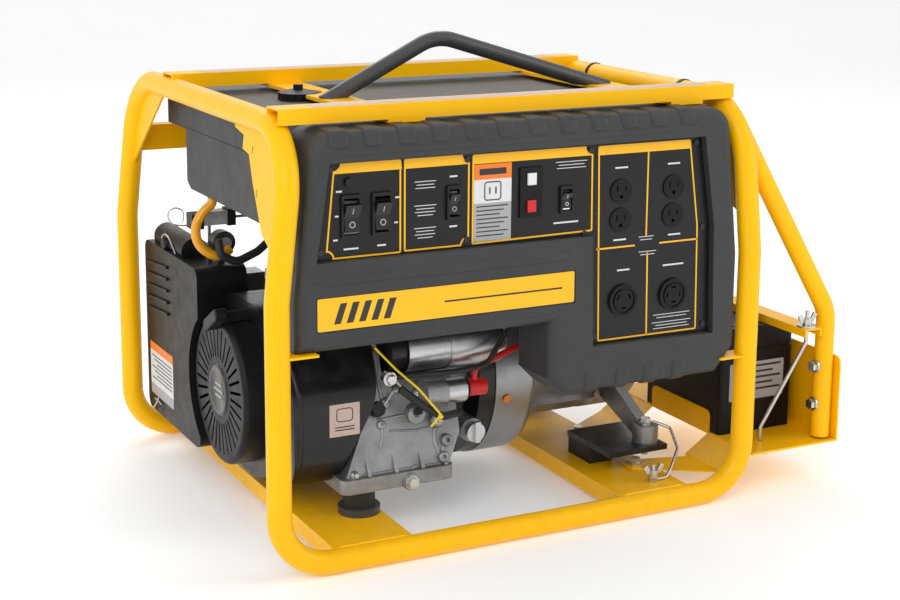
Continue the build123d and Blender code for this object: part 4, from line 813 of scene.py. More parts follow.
def panel_print():
    """Outlines, bands and dividing lines in the panel's yellow."""
    ink = looks("print_looks")
    w = ink.line_width
    near, far = PANEL_FACE - PRINT_THICK, PANEL_FACE + PRINT_THICK
    skins = []
    for section in SECTIONS.values():
        skins.append(band(corner_line(shifted(section)), w, "y", near, far))
        skins.append(slab(corner_line(header(section, ink.band_height)), "y", near + 5e-5, far))
    x0, x1 = MID_X + OUTLET_DIVIDE_X[0], MID_X + OUTLET_DIVIDE_X[1]
    z = OUTLET_DIVIDE_Z
    top = OUTLET_TOP - ink.band_height
    clear = 0.012
    lower = [
        (x1 - w / 2, OUTLET_LOW, 0), (x1 + w / 2, OUTLET_LOW, 0), (x1 - w / 2, z - clear, 0),
        (x1 - 3 * w / 2, z - clear, 0),
    ]
    skins.append(print_skin(rectangle(x0 - w / 2, x0 + w / 2, z + clear, top)))
    skins.append(print_skin(corner_line(lower)))
    for left, right in ((MID_X + 0.104, x0 - 0.018), (x0 + 0.022, MID_X + 0.268)):
        skins.append(print_skin(rectangle(left, right, z - w / 2, z + w / 2)))
    printed("panel_lines", skins, "print_yellow")


def mark_bars(x, z, width, rows, pitch=0.0042, thick=0.0009):
    """A block of plain bars where a panel would carry its notes."""
    shares = (1.0, 0.82, 0.93, 0.7)
    return [
        print_skin(
            rectangle(
                MID_X + x - width * shares[i % 4] / 2, MID_X + x + width * shares[i % 4] / 2,
                z - i * pitch, z - i * pitch + thick,
            )
        )
        for i in range(rows)
    ]


def panel_marks():
    """White dashes by the switches and outlets, with no wording."""
    skins = []
    for x, z, width, rows in (
        (-0.153, 0.502, 0.03, 3), (-0.153, 0.471, 0.031, 4), (-0.153, 0.442, 0.031, 4),
        (0.062, 0.513, 0.048, 3), (0.183, 0.401, 0.024, 2), (0.186, 0.380, 0.028, 2),
        (0.229, 0.288, 0.06, 2), (0.229, 0.277, 0.064, 3),
    ):
        skins += mark_bars(x, z, width, rows)
    for x, z, width in (
        (-0.272, 0.497, 0.008), (-0.275, 0.466, 0.005), (-0.277, 0.436, 0.006), (-0.192, 0.484, 0.006),
        (-0.194, 0.452, 0.005), (-0.256, 0.4235, 0.02), (-0.214, 0.4245, 0.012), (-0.113, 0.505, 0.011),
        (-0.113, 0.44, 0.011), (0.055, 0.431, 0.038), (0.1405, 0.4985, 0.02), (0.225, 0.4985, 0.02),
        (0.1405, 0.3995, 0.02), (0.229, 0.3995, 0.02), (0.1475, 0.357, 0.02), (0.229, 0.357, 0.034),
    ):
        skins += mark_bars(x, z, width, 1, thick=0.0022)
    printed("panel_marks", skins, "print_white")


def panel_label():
    """Plain three-field label of the circuit section: a socket outline over rows of bars."""
    left, right = MID_X - 0.0835, MID_X - 0.0285
    near, over = PANEL_FACE - LABEL_THICK, PANEL_FACE - 2 * LABEL_THICK
    fields = (("orange", 0.4985, 0.5185), ("white", 0.4675, 0.4985), ("grey", 0.4175, 0.4675))
    for colour, low, high in fields:
        skin = slab(rectangle(left, right, low, high), "y", near, PANEL_FACE + PRINT_THICK)
        printed(f"panel_label_{colour}", [skin], f"print_{colour}")
    bars = [slab(rectangle(left + 0.008, right - 0.008, 0.5045, 0.5125), "y", over, PANEL_FACE)]
    for i in range(8):
        z = 0.4625 - 0.0055 * i
        bar = rectangle(left + 0.004, right - 0.005 - 0.006 * (i % 3), z, z + LABEL_BAR)
        bars.append(slab(bar, "y", over, PANEL_FACE))
    middle, rise, reach = (left + right) / 2, 0.483, 0.0125
    socket = rectangle(middle - reach, middle + reach, rise - reach, rise + reach, 0.005)
    bars.append(band(socket, LABEL_BAR, "y", over, PANEL_FACE))
    for side in (-0.0045, 0.0045):
        blade = rectangle(middle + side - 0.0009, middle + side + 0.0009, rise - 0.004, rise + 0.005)
        bars.append(slab(blade, "y", over, PANEL_FACE))
    printed("panel_label_marks", bars, "print_dark")


SIGN_LEFT, SIGN_RIGHT, SIGN_LOW, SIGN_HIGH = -0.306, 0.064, 0.3248, 0.3668
SIGN_DEPTH = 0.0012
SLANT_WIDE, SLANT_HALF, SLANT_PITCH = 0.009, 0.013, 0.017


def cover_sign():
    """Yellow strip in the cover's shallow recess, with plain slanted bars in place of a name."""
    floor = FACE_Y + SIGN_DEPTH
    outline = rectangle(MID_X + SIGN_LEFT, MID_X + SIGN_RIGHT, SIGN_LOW, SIGN_HIGH, 0.003)
    printed("sign_strip", [slab(outline, "y", floor - 0.0008, floor + 0.0005)], "print_yellow")
    skins = []
    near, far = floor - 0.0011, floor
    mid = (SIGN_LOW + SIGN_HIGH) / 2
    for i in range(5):
        x = MID_X + SIGN_LEFT + 0.022 + SLANT_PITCH * i
        bar = corner_line([
            (x, mid - SLANT_HALF, 0), (x + SLANT_WIDE, mid - SLANT_HALF, 0),
            (x + 2 * SLANT_WIDE, mid + SLANT_HALF, 0), (x + SLANT_WIDE, mid + SLANT_HALF, 0),
        ])
        skins.append(slab(bar, "y", near, far))
    skins.append(slab(rectangle(MID_X - 0.13, MID_X + 0.045, mid - 0.0011, mid + 0.0011), "y", near, far))
    printed("sign_bars", skins, "print_dark")


# ---------------------------------------------------------------- switch marks
# each switch's place from the middle of the frame, its height over the floor and its own height
SWITCHES = {
    "engine_switch": (-0.256, 0.466, 0.046), "idle_switch": (-0.214, 0.466, 0.046),
    "voltage_switch": (-0.113, 0.472, 0.036), "breaker_switch": (0.055, 0.463, 0.028),
}
ROCKER_REST = math.radians(10)
PIVOT_DEPTH = 0.00125
ROCKER_TRIM = 0.0018
MARK_PROUD = 0.00015
MARK_SUNK = -0.0002


def on_rocker(switch, upper, flat, lift):
    """Places a flat (a, b) outline on one sloped half of a resting rocker's front."""
    x, z, high = switch
    r = high / 2 - ROCKER_TRIM
    side = 1.0 if upper else -1.0
    root = np.array([-0.24 * r, 0.0])
    tip = np.array([-0.5 * r, side * 0.84 * r])
    slope = unit(tip - root)
    out = np.array([-abs(slope[1]), slope[0] * side])
    middle = (root + tip) / 2
    local = middle + flat[:, 1:] * slope * side + out * lift
    c, s = math.cos(ROCKER_REST), math.sin(ROCKER_REST)
    y = local[:, 0] * c - local[:, 1] * s + PANEL_FACE + PIVOT_DEPTH
    up = local[:, 0] * s + local[:, 1] * c + z
    return np.stack([MID_X + x + flat[:, 0], y, up], -1)


def rocker_marks():
    """A bar on the upper half of each rocker and a ring on the lower half."""
    turn = np.linspace(0, 2 * np.pi, 24, endpoint=False)
    for body, switch in SWITCHES.items():
        size = switch[2] * 0.09
        ink = "print_white" if body == "breaker_switch" else "print_grey"
        bar = rectangle(-size * 0.16, size * 0.16, -size, size)
        outer = size * np.stack([np.cos(turn), np.sin(turn)], -1)
        inner = outer * 0.68
        bar_skin = plate(*(on_rocker(switch, True, bar, lift) for lift in (MARK_PROUD, MARK_SUNK)))
        ring_skin = ribbon([
            on_rocker(switch, False, edge, lift)
            for edge, lift in (
                (outer, MARK_PROUD), (inner, MARK_PROUD), (inner, MARK_SUNK), (outer, MARK_SUNK),
            )
        ])
        piece(f"marks_{body}", *joined([bar_skin, ring_skin]), ink, body=body, corner=30)


# ---------------------------------------------------------------- labels
def flat_print(name, fields, axis, face, finish_name, layers=1):
    """Thin plates on a face that looks down its axis, one for each (a0, a1, b0, b1, r).

    They stand off the face by whole label layers and reach a little way into it."""
    lift = face - layers * LABEL_THICK
    skins = [slab(rectangle(*field), axis, lift, face + LABEL_SUNK) for field in fields]
    printed(name, skins, finish_name)


def fan_label():
    """Pale label with a rounded outline and two bars, on the bulge of the fan housing."""
    face, over = FAN_FRONT, FAN_FRONT - 2 * LABEL_THICK
    x0, x1, z0, z1 = MID_X - 0.241, MID_X - 0.197, 0.1425, 0.1875
    flat_print("fan_label", [(x0, x1, z0, z1, 0.001)], "y", face, "print_pink")
    outline = rectangle(x0 + 0.01, x1 - 0.01, z1 - 0.025, z1 - 0.006, 0.005)
    bars = [
        slab(rectangle(x0 + 0.008, x1 - 0.008, z, z + LABEL_BAR), "y", over, face)
        for z in (z0 + 0.008, z0 + 0.012)
    ]
    bars.append(band(outline, 0.0011, "y", over, face))
    printed("fan_label_marks", bars, "print_dark")


def cleaner_label():
    """Three colour fields with bars, low on the air cleaner's outer face."""
    face = CLEANER_FACE
    for colour, low, high in (("orange", 0.158, 0.171), ("white", 0.104, 0.158), ("grey", 0.088, 0.104)):
        flat_print(f"cleaner_label_{colour}", [(0.166, 0.276, low, high, 0)], "x", face, f"print_{colour}")
    bars = [(0.172, 0.268 - 0.012 * (i % 3), 0.15 - 0.006 * i, 0.1515 - 0.006 * i, 0) for i in range(7)]
    flat_print("cleaner_label_bars", bars, "x", face, "print_dark", layers=2)


def battery_label():
    """Grey front label with bars, and a round dot on the alternator's drum."""
    lo, hi, front = BATTERY_LO, BATTERY_HI, BATTERY_LO.y
    field = (lo.x + 0.016, hi.x - 0.016, lo.z + 0.05, lo.z + 0.108, 0.003)
    flat_print("battery_label", [field], "y", front, "print_grey")
    bars = [
        (lo.x + 0.022, hi.x - 0.022 - 0.014 * (i % 2), lo.z + 0.1 - 0.009 * i, lo.z + 0.103 - 0.009 * i, 0)
        for i in range(5)
    ]
    flat_print("battery_label_bars", bars, "y", front, "print_dark", layers=2)
    profile = [(0, LABEL_THICK), (DOT_R, LABEL_THICK), (DOT_R, -LABEL_SUNK), (0, -LABEL_SUNK)]
    at = (MID_X + 0.056, SHAFT_Y - 0.1397, SHAFT_Z - 0.026)
    printed("drum_dot", [spun(profile, at, (0, -0.97, -0.24), 24)], "print_orange")


def rail_tape():
    """Grey-pink edge tape laid on the two top rails."""
    skins = []
    for low, high in TOP_RAILS:
        middle = (low.y + high.y) / 2
        strip = rectangle(MID_X - 0.29, MID_X + 0.3, middle - 0.013, middle + 0.013, 0.002)
        skins.append(slab(strip, "z", high.z + LABEL_THICK, high.z - 0.0004))
    printed("rail_tape", skins, "print_pink")


# ---------------------------------------------------------------- small fittings
WIRE_R = 0.0012


def strap_ring(origin, axis, radius, width=0.0065, thick=0.0014):
    """Cable tie: a flat ring with softened edges."""
    inner, outer, half = radius - 0.0004, radius + thick, width / 2
    soft_in, soft_along = 0.0004, 0.0005
    profile = [
        (inner, -half), (outer - soft_in, -half), (outer, -half + soft_along),
        (outer, half - soft_along), (outer - soft_in, half), (inner, half),
    ]
    return spun(profile, origin, axis, 40, closed=True)


def lean_point(y):
    """Centre of the right hoop's top tube at a depth."""
    return np.array([RIGHT_HOOP[1].x - TUBE_R - 0.023, y, RIGHT_HOOP[1].z - TUBE_R])


def tube_ties():
    """Black ties round the right top tube."""
    skins = [strap_ring(lean_point(y), (0, 1, 0), TUBE_R) for y in (0.07, -0.175)]
    fitting("tube_ties", skins, "black_moulding", 30)


def at_frame(points):
    """Rows of (x from the frame's middle, y, z) as places."""
    return np.asarray(points, float) + (MID_X, 0.0, 0.0)


def cleaner_wires():
    """Two spring wires over a short roll on the air cleaner, and the lower clip."""
    roll_z = 0.337
    roll = [(0, 0), (0.009, 0), (0.0115, 0.003), (0.0115, 0.015), (0.009, 0.018), (0, 0.018)]
    at = (CLEANER_FACE + 0.001, 0.205, roll_z)
    fitting("cleaner_roll", [spun(roll, at, (1, 0, 0), 32)], "black_moulding", 50)
    skins = []
    for x in (-0.333, -0.3235):
        arc = [
            (x, 0.2195, roll_z - 0.006), (x, 0.2185, roll_z + 0.008), (x, 0.205, roll_z + 0.0145),
            (x, 0.187, roll_z + 0.0125), (x, 0.17, roll_z + 0.004), (x, 0.155, roll_z - 0.006),
        ]
        skins.append(swept(flowing(at_frame(arc), 48), WIRE_R, 8))
    clip = np.add((CLEANER_FACE, 0.0, CLEANER_LOW), [
        (-0.0005, 0.235, 0.03), (-0.006, 0.24, 0.014), (-0.004, 0.262, 0.004), (0.004, 0.27, 0.008),
        (-0.003, 0.25, 0.022), (-0.001, 0.222, 0.018),
    ])
    skins.append(swept(flowing(clip, 60), WIRE_R, 8))
    fitting("cleaner_wires", skins, "zinc_steel")


def solenoid_wire():
    """Stiff wire eye at the idle solenoid's left end: one open turn with both tails to the right."""
    y = 0.084
    eye = [
        (-0.331, y, 0.388), (-0.346, y, 0.3885), (-0.359, y, 0.392), (-0.3655, y, 0.402),
        (-0.3625, y, 0.4115), (-0.3535, y, 0.4145), (-0.344, y, 0.4095), (-0.3425, y, 0.3995),
        (-0.3452, y, 0.3935),
    ]
    fitting("solenoid_wire", [swept(flowing(at_frame(eye), 80), 0.0011, 8)], "zinc_steel")


# ---------------------------------------------------------------- crankcase details
CASE_FOOT = (-0.220, 0.084)
CASE_KNEE = (-0.202, 0.146)
CASE_TOP = (-0.164, 0.238)
BOSS_SUNK = 0.002
OIL_SWITCH = (-0.112, 0.1575)


def on_case(x, z, lift=0.0):
    """A place on the sloping front of the case: two flat slopes that meet at a knee."""
    (y0, z0), (y1, z1) = (CASE_FOOT, CASE_KNEE) if z < CASE_KNEE[1] else (CASE_KNEE, CASE_TOP)
    slope = math.hypot(y1 - y0, z1 - z0)
    out_y, out_z = -(z1 - z0) / slope, (y1 - y0) / slope
    y = y0 + (y1 - y0) * (z - z0) / (z1 - z0)
    return np.array([MID_X + x, y + out_y * lift, z + out_z * lift]), np.array([0.0, out_y, out_z])


def case_boss(x, z, radius, height, hole=0.0):
    """A turned boss with a rounded rim, sunk a little into the case, with a blind hole if asked."""
    at, out = on_case(x, z)
    rim = min(0.0015, radius * 0.25)
    profile = [
        (0, -BOSS_SUNK), (radius * 1.18, -BOSS_SUNK), (radius * 1.04, height * 0.35),
        (radius, height - rim), (radius - rim, height),
    ]
    if hole:
        profile += [(hole, height), (hole, height * 0.3), (0, height * 0.3)]
    else:
        profile += [(0, height)]
    return spun(profile, at, out, 28)


def hex_head(at, out, across, height, flange=0.0):
    """A hexagon head, with a round flange under it when its radius is given."""
    flat = across / 2
    turn = np.linspace(0, 2 * np.pi, 48, endpoint=False)
    within = (turn + math.pi / 6) % (math.pi / 3) - math.pi / 6
    reach = flat / np.cos(within)
    helper = np.array([1.0, 0.0, 0.0]) if abs(out[0]) < 0.9 else np.array([0.0, 1.0, 0.0])
    first = unit(np.cross(out, helper))
    second = np.cross(out, first)
    spoke = first * np.cos(turn)[:, None] + second * np.sin(turn)[:, None]
    rings = [(0.02, 0.0), (1.0, 0.0), (1.0, 0.8), (0.9, 1.0), (0.02, 1.0)]
    base = 0.0018 if flange else 0.0
    points = [at + spoke * (reach * a)[:, None] + out * (base + height * b) for a, b in rings]
    skins = [(np.concatenate(points), grid_faces(len(rings), len(turn), 0, False, True))]
    if flange:
        washer = [(0, -0.0005), (flange, -0.0005), (flange, 0.0008), (flat * 1.02, 0.0022), (0, 0.0022)]
        skins.append(spun(washer, at, out, 36))
    return joined(skins)


def case_ridge(line, radius):
    """A cast ridge along points on the case's front: a round section sunk a third of its radius."""
    path = np.array([on_case(x, z, -radius * 0.35)[0] for x, z in line])
    return swept(flowing(path, 30), radius, 10)


def case_castings():
    """Bosses and ridges cast on the sloping front of the crankcase."""
    skins = [
        case_boss(-0.163, 0.1485, 0.0062, 0.004, 0.0022), case_boss(-0.112, 0.1575, 0.0125, 0.006),
        case_boss(-0.0805, 0.1445, 0.0105, 0.009), case_boss(-0.069, 0.116, 0.0085, 0.008, 0.0035),
        case_boss(-0.0765, 0.0945, 0.008, 0.007, 0.0032), case_boss(-0.2105, 0.0885, 0.0062, 0.003),
        case_boss(-0.1195, 0.0862, 0.0042, 0.002, 0.0018), case_boss(-0.152, 0.1745, 0.0075, 0.004),
        case_boss(-0.132, 0.1905, 0.0065, 0.0035), case_boss(-0.1, 0.181, 0.009, 0.005),
    ]
    ridges = [
        ([(-0.168, 0.1545), (-0.125, 0.1565), (-0.074, 0.1545)], 0.0024),
        ([(-0.2, 0.0868), (-0.14, 0.0868), (-0.08, 0.0868)], 0.0022),
        ([(-0.155, 0.172), (-0.157, 0.2), (-0.156, 0.23)], 0.0026),
        ([(-0.152, 0.139), (-0.115, 0.1355), (-0.082, 0.1375)], 0.0018),
        ([(-0.0805, 0.14), (-0.086, 0.12), (-0.082, 0.1)], 0.0034),
        ([(-0.069, 0.118), (-0.074, 0.107), (-0.0765, 0.096)], 0.0036),
        ([(-0.1, 0.181), (-0.085, 0.168), (-0.0805, 0.15)], 0.0032),
        ([(-0.163, 0.1465), (-0.1635, 0.132), (-0.168, 0.118)], 0.0026),
    ]
    skins += [case_ridge(line, radius) for line, radius in ridges]
    fitting("case_castings", skins, "cast_aluminium", 50)


def case_hardware():
    """Bolt heads, the oil switch's cap, the clip block and the pale lead on the crankcase."""
    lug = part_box("battery_cable_black")
    lug_at = np.array([lug[0].x + 0.009, -0.215, 0.216])
    heads = [hex_head(lug_at, np.array([0.0, -1.0, 0.0]), 0.0125, 0.0065, 0.0098)]
    for x, z, lift, across, flange in (
        (-0.2105, 0.0885, 0.0028, 0.0062, 0.0048), (-0.1, 0.181, 0.0052, 0.0075, 0.006),
        (-0.0805, 0.1445, 0.0088, 0.008, 0.0065),
    ):
        at, out = on_case(x, z, lift)
        heads.append(hex_head(at, out, across, 0.0042, flange))
    at, out = on_case(*OIL_SWITCH, 0.0058)
    heads.append(hex_head(at, out, 0.0155, 0.0055))
    fitting("case_bolts", heads, "zinc_steel", 30)
    cap = [(0, 0), (0.0052, 0), (0.0052, 0.0095), (0.004, 0.0115), (0, 0.0115)]
    clip = [
        (0, -0.006), (0.0105, -0.006), (0.0112, -0.004), (0.0112, 0.005), (0.0095, 0.008), (0, 0.008),
    ]
    plugs = [spun(cap, *on_case(*OIL_SWITCH, 0.011), 28), spun(clip, *on_case(-0.167, 0.168, 0.004), 8)]
    fitting("case_plugs", plugs, "black_rubber", 35)
    pale = [
        lug_at + (0.008, -0.004, -0.004), lug_at + (0.017, -0.003, -0.016), on_case(-0.14, 0.187, 0.007)[0],
        on_case(-0.152, 0.1755, 0.006)[0], on_case(-0.162, 0.17, 0.006)[0],
    ]
    piece("pale_lead", *swept(flowing(pale, 40), 0.0013, 8), "print_white", corner=60)


def housing_bead():
    """Rolled bead down the front of the fan housing, turned under at its foot."""
    front, low = FAN_FRONT, 0.07
    line = [
        (front + 0.047, 0.25), (front + 0.016, 0.222), (front + 0.002, 0.196), (front, 0.165),
        (front, 0.128), (front + 0.004, 0.102), (front + 0.018, low + 0.012), (front + 0.042, low),
        (front + 0.07, low),
    ]
    path = flowing([(MID_X - 0.2825, y + 0.0012, z) for y, z in line], 90)
    fitting("housing_bead", [swept(path, 0.0036, 12)], "black_paint")


def recoil_badge():
    """Plain dished centre of the starter cover, with its rim."""
    profile = [
        (0, 0.0004), (0.026, 0.0004), (0.029, 0.0016), (0.033, 0.0022), (0.036, 0.0016), (0.0375, -0.0006),
        (0, -0.0006),
    ]
    centre = spun(profile, (RECOIL_FACE, SHAFT_Y, SHAFT_Z), (-1, 0, 0), 64)
    fitting("recoil_centre", [centre], "black_gloss", 50)
    half_thick = 0.0016
    bars = []
    for half, rise in ((0.012, 0.0085), (0.017, 0.0), (0.012, -0.0085)):
        z = SHAFT_Z + rise
        bar = rectangle(SHAFT_Y - half, SHAFT_Y + half, z - half_thick, z + half_thick)
        bars.append(slab(bar, "x", RECOIL_FACE - 0.0009, RECOIL_FACE))
    printed("recoil_bars", bars, "print_grey")


def ripple_bead(start, end, radius=0.0022, pitch=0.0032):
    """A weld bead: a round section along a line, swelling once for each deposited drop."""
    path = straight(start, end, 160)
    travelled = np.linspace(0, np.linalg.norm(path[-1] - path[0]), len(path))
    swell = 1 + 0.22 * np.abs(np.sin(np.pi * travelled / pitch))
    ends = np.clip(np.minimum(travelled, travelled[-1] - travelled) / 0.004, 0.35, 1)
    return swept(path, radius * swell * ends, 8)


def frame_welds():
    """Beads where the cross channels meet the bottom rails, high on the tubes' inner sides."""
    skins = []
    z = TUBE_R * 1.965
    for name in ("base_channel_left", "base_channel_right"):
        lo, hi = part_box(name)
        for side in (-1, 1):
            edge = side * (-LEFT_HOOP[0].y - TUBE_R * 1.28)
            skins.append(ripple_bead((lo.x + 0.006, edge, z), (hi.x - 0.006, edge, z)))
    fitting("frame_welds", skins, "yellow_paint")


def rail_ends():
    """Closing plates set a little way into the ends of the two top rails."""
    gap, inset, thick = 0.0005, 0.0155, 0.0025
    skins = []
    for low, high in TOP_RAILS:
        outline = rectangle(low.y + gap, high.y - gap, low.z + gap, high.z - gap, 0.001)
        for end, inward_x in ((low.x, 1), (high.x, -1)):
            skins.append(slab(outline, "x", end + inward_x * inset, end + inward_x * (inset + thick)))
    fitting("rail_ends", skins, "yellow_paint", 30)


def tank_seam():
    """Flash line round the tank where its two moulds met."""
    lo, hi, z = TANK_LO, TANK_HI, TANK_LO.z + 0.088
    corner, side_end = 0.022, 0.163
    lines = [
        [(lo.x + corner, lo.y, z), (hi.x - corner, lo.y, z)],
        [(lo.x, lo.y + corner, z), (lo.x, side_end, z)],
        [(hi.x, lo.y + corner, z), (hi.x, side_end, z)],
    ]
    skins = [swept(straight(a, b, 40), 0.0011, 6) for a, b in lines]
    fitting("tank_seam", skins, "grey_moulding")


def battery_fittings():
    """Row of round vent caps on the battery's lid."""
    x = BATTERY_LO.x + 0.116
    mid_y = (BATTERY_LO.y + BATTERY_HI.y) / 2
    pitch = 0.022
    skins = []
    profile = [
        (0, 0.0012), (0.0055, 0.0012), (0.0062, 0.0008), (0.0078, 0.0024), (0.0086, 0.0016),
        (0.0086, -0.001), (0, -0.001),
    ]
    for i in range(6):
        at = (x, mid_y + (i - 2.5) * pitch, BATTERY_HI.z)
        skins.append(spun(profile, at, (0, 0, 1), 24))
    fitting("battery_vents", skins, "black_moulding", 40)


# ---------------------------------------------------------------- second finishes within CAD nodes
PUMP_X, PUMP_Z = -0.286, 0.360
POST_INSET, POST_REACH = 0.026, 0.0085
LEAD_REACH = 0.0045


def local_finishes():
    """Second colours within single CAD nodes."""
    paint_faces("starter_motor", "black_paint", lambda x, y, z: x < -0.100)
    paint_faces("starter_solenoid", "cast_aluminium", lambda x, y, z: x < -0.0725)
    paint_faces("starter_solenoid", "black_moulding", lambda x, y, z: x > -0.0418)
    paint_faces(
        "battery", "lead_grey",
        lambda x, y, z: (z < 0.2225) & (z > 0.204) & (x > 0.3845) & (x < 0.3995) & in_posts(y),
    )
    paint_faces("rubber_mounts", "black_paint", lambda x, y, z: (x > 0.1) & (z > 0.0575))
    paint_faces("rubber_mounts", "grey_paint", lambda x, y, z: (x < 0.1) & (z < 0.0435))
    paint_faces("engine_leads", "yellow_wire", lambda x, y, z: (x < 0.1) & (z < 0.28) & thin_wire(x, y, z))
    paint_faces("engine_leads", "zinc_steel", lambda x, y, z: x > 0.1)
    paint_faces(
        "carburetor", "black_paint",
        lambda x, y, z: (y < 0.0925) & (z > 0.34) & (pump_radius(x, z) > 0.0095),
    )
    paint_faces("idle_solenoid", "zinc_steel", lambda x, y, z: x < -0.2675)
    paint_faces(
        "idle_solenoid", "black_moulding",
        lambda x, y, z: (x < -0.3155) | ((x > -0.2805) & (x < -0.2675)),
    )
    paint_faces(
        "battery_cable_black", "zinc_steel",
        lambda x, y, z: (x < -0.145) & (y > -0.2155) & (z < 0.2255),
    )
    for name, finish_name in (
        ("control_panel", "panel_black"), ("alternator_housing", "drum_steel"),
        ("panel_screws", "screw_black"), ("alternator_stator", "laminations"),
    ):
        paint_faces(name, finish_name, everywhere)


def everywhere(x, y, z):
    """True for every face."""
    return np.full(len(x), True)


def pump_radius(x, z):
    """Distance from the fuel pump's own axis."""
    return np.hypot(x - PUMP_X, z - PUMP_Z)


def in_posts(y):
    """True within the depth of either battery post."""
    front, back = BATTERY_LO.y + POST_INSET, BATTERY_HI.y - POST_INSET
    return (np.abs(y - front) < POST_REACH) | (np.abs(y - back) < POST_REACH)


def thin_wire(x, y, z):
    """True near the route of the thin lead on the crankcase."""
    route = flowing([
        (-0.178, -0.214, 0.262), (-0.152, -0.224, 0.232), (-0.126, -0.240, 0.206),
        (-0.094, -0.246, 0.166), (-0.104, -0.236, 0.148),
    ], 80)
    here = np.stack([x, y, z], -1)
    gap = np.linalg.norm(here[:, None] - route[None], axis=-1).min(1)
    return gap < LEAD_REACH


# ---------------------------------------------------------------- stage
FOCAL_LENGTH = 67.99
SENSOR = 36.0
LENS_SHIFT = -0.0778
EYE = (-1.168186, -2.213341, 0.876617)
TURN = math.radians(27.094)
TILT = math.radians(11.656)
ROLL = math.radians(0.43)
FLOOR_GLOW = 0.16
SKY_STRENGTH = 0.74
LEFT_SHARE, BACK_SHARE = 0.45, 1.3
FLOOR_REACH, CURVE_FROM, CURVE_R, WALL_TOP = 9, 6, 3, 8.0


def place_camera():
    """Camera looking across the front left corner, a little downwards."""
    ahead = np.array([math.sin(TURN) * math.cos(TILT), math.cos(TURN) * math.cos(TILT), -math.sin(TILT)])
    flat_right = np.array([math.cos(TURN), -math.sin(TURN), 0.0])
    flat_up = np.cross(flat_right, ahead)
    right = flat_right * math.cos(ROLL) + flat_up * math.sin(ROLL)
    up = np.cross(right, ahead)
    data = bpy.data.cameras.new("camera")
    data.lens = FOCAL_LENGTH
    data.sensor_width = SENSOR
    data.shift_y = LENS_SHIFT
    data.clip_start = 0.05
    data.clip_end = 50
    made = bpy.data.objects.new("camera", data)
    turn = Matrix(np.stack([right, up, -ahead], 1).tolist()).to_4x4()
    turn.translation = EYE
    made.matrix_world = turn
    bpy.context.scene.collection.objects.link(made)
    bpy.context.scene.camera = made


def area_light(name, place, target, size, power):
    """A rectangular light at a place, turned to face a target."""
    data = bpy.data.lights.new(name, "AREA")
    data.shape = "RECTANGLE"
    data.size, data.size_y = size
    data.energy = power
    made = bpy.data.objects.new(name, data)
    ahead = unit(np.asarray(target, float) - np.asarray(place, float))
    right = unit(np.cross(ahead, (0, 0, 1)))
    up = np.cross(right, ahead)
    turn = Matrix(np.stack([right, up, -ahead], 1).tolist()).to_4x4()
    turn.translation = place
    made.matrix_world = turn
    bpy.context.scene.collection.objects.link(made)


def studio():
    """Pale floor that curves up behind, a bright even sky and soft lights."""
    stage = looks("stage_looks")
    tone = finish("floor", stage.floor, 0.6, mottle=(2.0, 0.99, 1.01), spread=0.03, peel=(60.0, 0.03))
    glow = tone.node_tree.nodes["Principled BSDF"].inputs
    glow["Emission Color"].default_value = (1.0, 1.0, 1.0, 1.0)
    glow["Emission Strength"].default_value = FLOOR_GLOW
    u = np.linspace(-FLOOR_REACH, FLOOR_REACH, 3)
    v = np.concatenate([
        np.linspace(-FLOOR_REACH, CURVE_FROM, 4), np.linspace(CURVE_FROM + 0.3, FLOOR_REACH, 10),
        [float(FLOOR_REACH)],
    ])
    dip = np.clip(CURVE_R**2 - (v - CURVE_FROM) ** 2, 0, CURVE_R**2)
    rise = np.where(v > CURVE_FROM, CURVE_R - np.sqrt(dip), 0.0)
    rise[-1] = WALL_TOP
    points = np.stack(np.broadcast_arrays(u[None], v[:, None], rise[:, None]), -1)
    mesh = bpy.data.meshes.new("floor")
    mesh.from_pydata(points.reshape(-1, 3).tolist(), [], grid_faces(len(v), len(u)))
    mesh.polygons.foreach_set("use_smooth", np.ones(len(mesh.polygons), bool))
    mesh.materials.append(tone)
    floor = bpy.data.objects.new("floor", mesh)
    bpy.context.scene.collection.objects.link(floor)
    area_light("key", (-2.6, -3.0, 2.9), (0, 0, 0.3), (2.6, 2.2), stage.key_power)
    area_light("left_strip", (-3.4, 0.3, 1.3), (0, 0, 0.35), (0.9, 2.4), stage.fill_power * LEFT_SHARE)
    area_light("right_fill", (3.0, -2.2, 1.8), (0, 0, 0.35), (1.6, 2.2), stage.fill_power)
    area_light("back_top", (0.6, 2.8, 3.0), (0, 0, 0.4), (3.0, 1.6), stage.fill_power * BACK_SHARE)
    world = bpy.data.worlds.new("studio")
    world.use_nodes = True
    sky = world.node_tree.nodes["Background"]
    sky.inputs["Color"].default_value = (1.0, 1.0, 1.0, 1.0)
    sky.inputs["Strength"].default_value = SKY_STRENGTH
    bpy.context.scene.world = world
    bpy.context.scene.view_settings.view_transform = "Standard"


# ---------------------------------------------------------------- operators
class Step(bpy.types.Operator):
    """One step of the build; a failure raises."""

    bl_options = {"REGISTER", "UNDO"}
    work = ()

    def execute(self, context):
        for job in self.work:
            job()
        return {"FINISHED"}


class GEN_OT_finishes(Step, bpy.types.Operator):
    """Makes every shared effect and finish, and gives the CAD pieces theirs"""

    bl_idname = "generator.finishes"
    bl_label = "Finish the CAD pieces"
    work = (
        make_groups, painted_finishes, metal_finishes, soft_finishes, print_finishes, assign_slots,
        local_finishes,
    )


class GEN_OT_cover(Step, bpy.types.Operator):
    """Adds the grip pads and soft ridges of the front cover"""

    bl_idname = "generator.cover"
    bl_label = "Add cover ribs"
    work = (cover_ribs, cover_ridges)


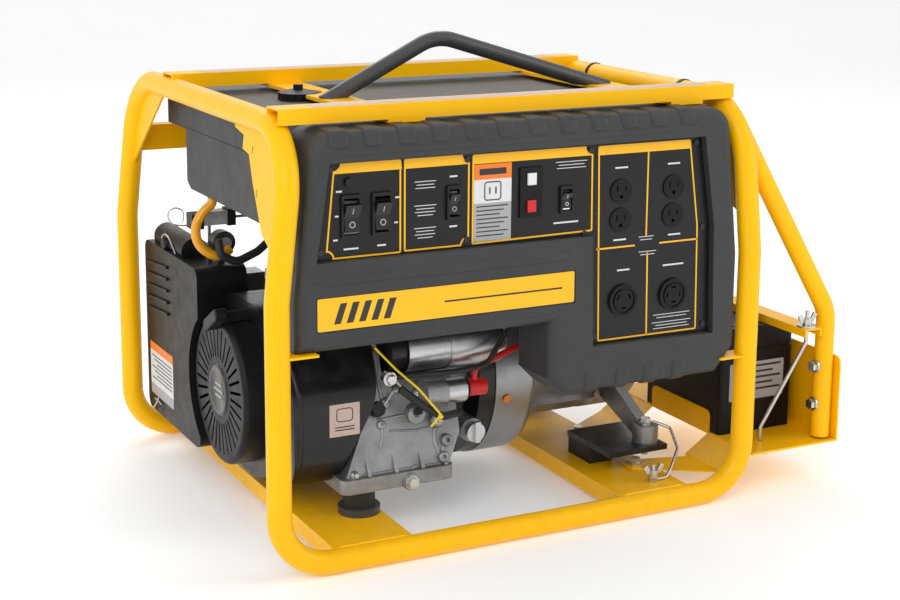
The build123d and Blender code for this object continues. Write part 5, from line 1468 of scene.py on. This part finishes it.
class GEN_OT_panel(Step, bpy.types.Operator):
    """Prints the panel's lines, bands, marks and label"""

    bl_idname = "generator.panel"
    bl_label = "Print the panel"
    work = (panel_print, panel_marks, panel_label, rocker_marks)


class GEN_OT_labels(Step, bpy.types.Operator):
    """Adds the sign strip, the plain labels and the rail tape"""

    bl_idname = "generator.labels"
    bl_label = "Add sign and labels"
    work = (cover_sign, fan_label, cleaner_label, battery_label, rail_tape)


class GEN_OT_fittings(Step, bpy.types.Operator):
    """Adds ties, wires, castings, bolts, beads, the starter centre, tank seam and vent caps"""

    bl_idname = "generator.fittings"
    bl_label = "Add small fittings"
    work = (
        tube_ties, cleaner_wires, solenoid_wire, case_castings, case_hardware, housing_bead, recoil_badge,
        frame_welds, rail_ends, tank_seam, battery_fittings,
    )


class GEN_OT_stage(Step, bpy.types.Operator):
    """Sets up the floor, the lights and the camera"""

    bl_idname = "generator.stage"
    bl_label = "Set the stage"
    work = (place_camera, studio)


class GEN_PT_sidebar(bpy.types.Panel):
    """Lists the steps and their settings in the sidebar."""

    bl_idname = "GEN_PT_sidebar"
    bl_label = "Generator"
    bl_space_type = "VIEW_3D"
    bl_region_type = "UI"
    bl_category = "Generator"

    def draw(self, context):
        for name in SETTINGS:
            settings = getattr(context.scene, name)
            for key in settings.__annotations__:
                self.layout.prop(settings, key)
        for step in STEPS:
            self.layout.operator(step.bl_idname)


SETTINGS = {
    "frame_looks": FrameLooks, "cover_looks": CoverLooks, "print_looks": PrintLooks,
    "stage_looks": StageLooks,
}
STEPS = (GEN_OT_finishes, GEN_OT_cover, GEN_OT_panel, GEN_OT_labels, GEN_OT_fittings, GEN_OT_stage)


def register():
    for made in (*SETTINGS.values(), *STEPS, GEN_PT_sidebar):
        bpy.utils.register_class(made)
    for name, settings in SETTINGS.items():
        setattr(bpy.types.Scene, name, bpy.props.PointerProperty(type=settings))


def unregister():
    for name in SETTINGS:
        delattr(bpy.types.Scene, name)
    for made in reversed((*SETTINGS.values(), *STEPS, GEN_PT_sidebar)):
        bpy.utils.unregister_class(made)


def main():
    register()
    bpy.ops.generator.finishes()
    bpy.ops.generator.cover()
    bpy.ops.generator.panel()
    bpy.ops.generator.labels()
    bpy.ops.generator.fittings()
    bpy.ops.generator.stage()


if __name__ == "__main__":
    main()
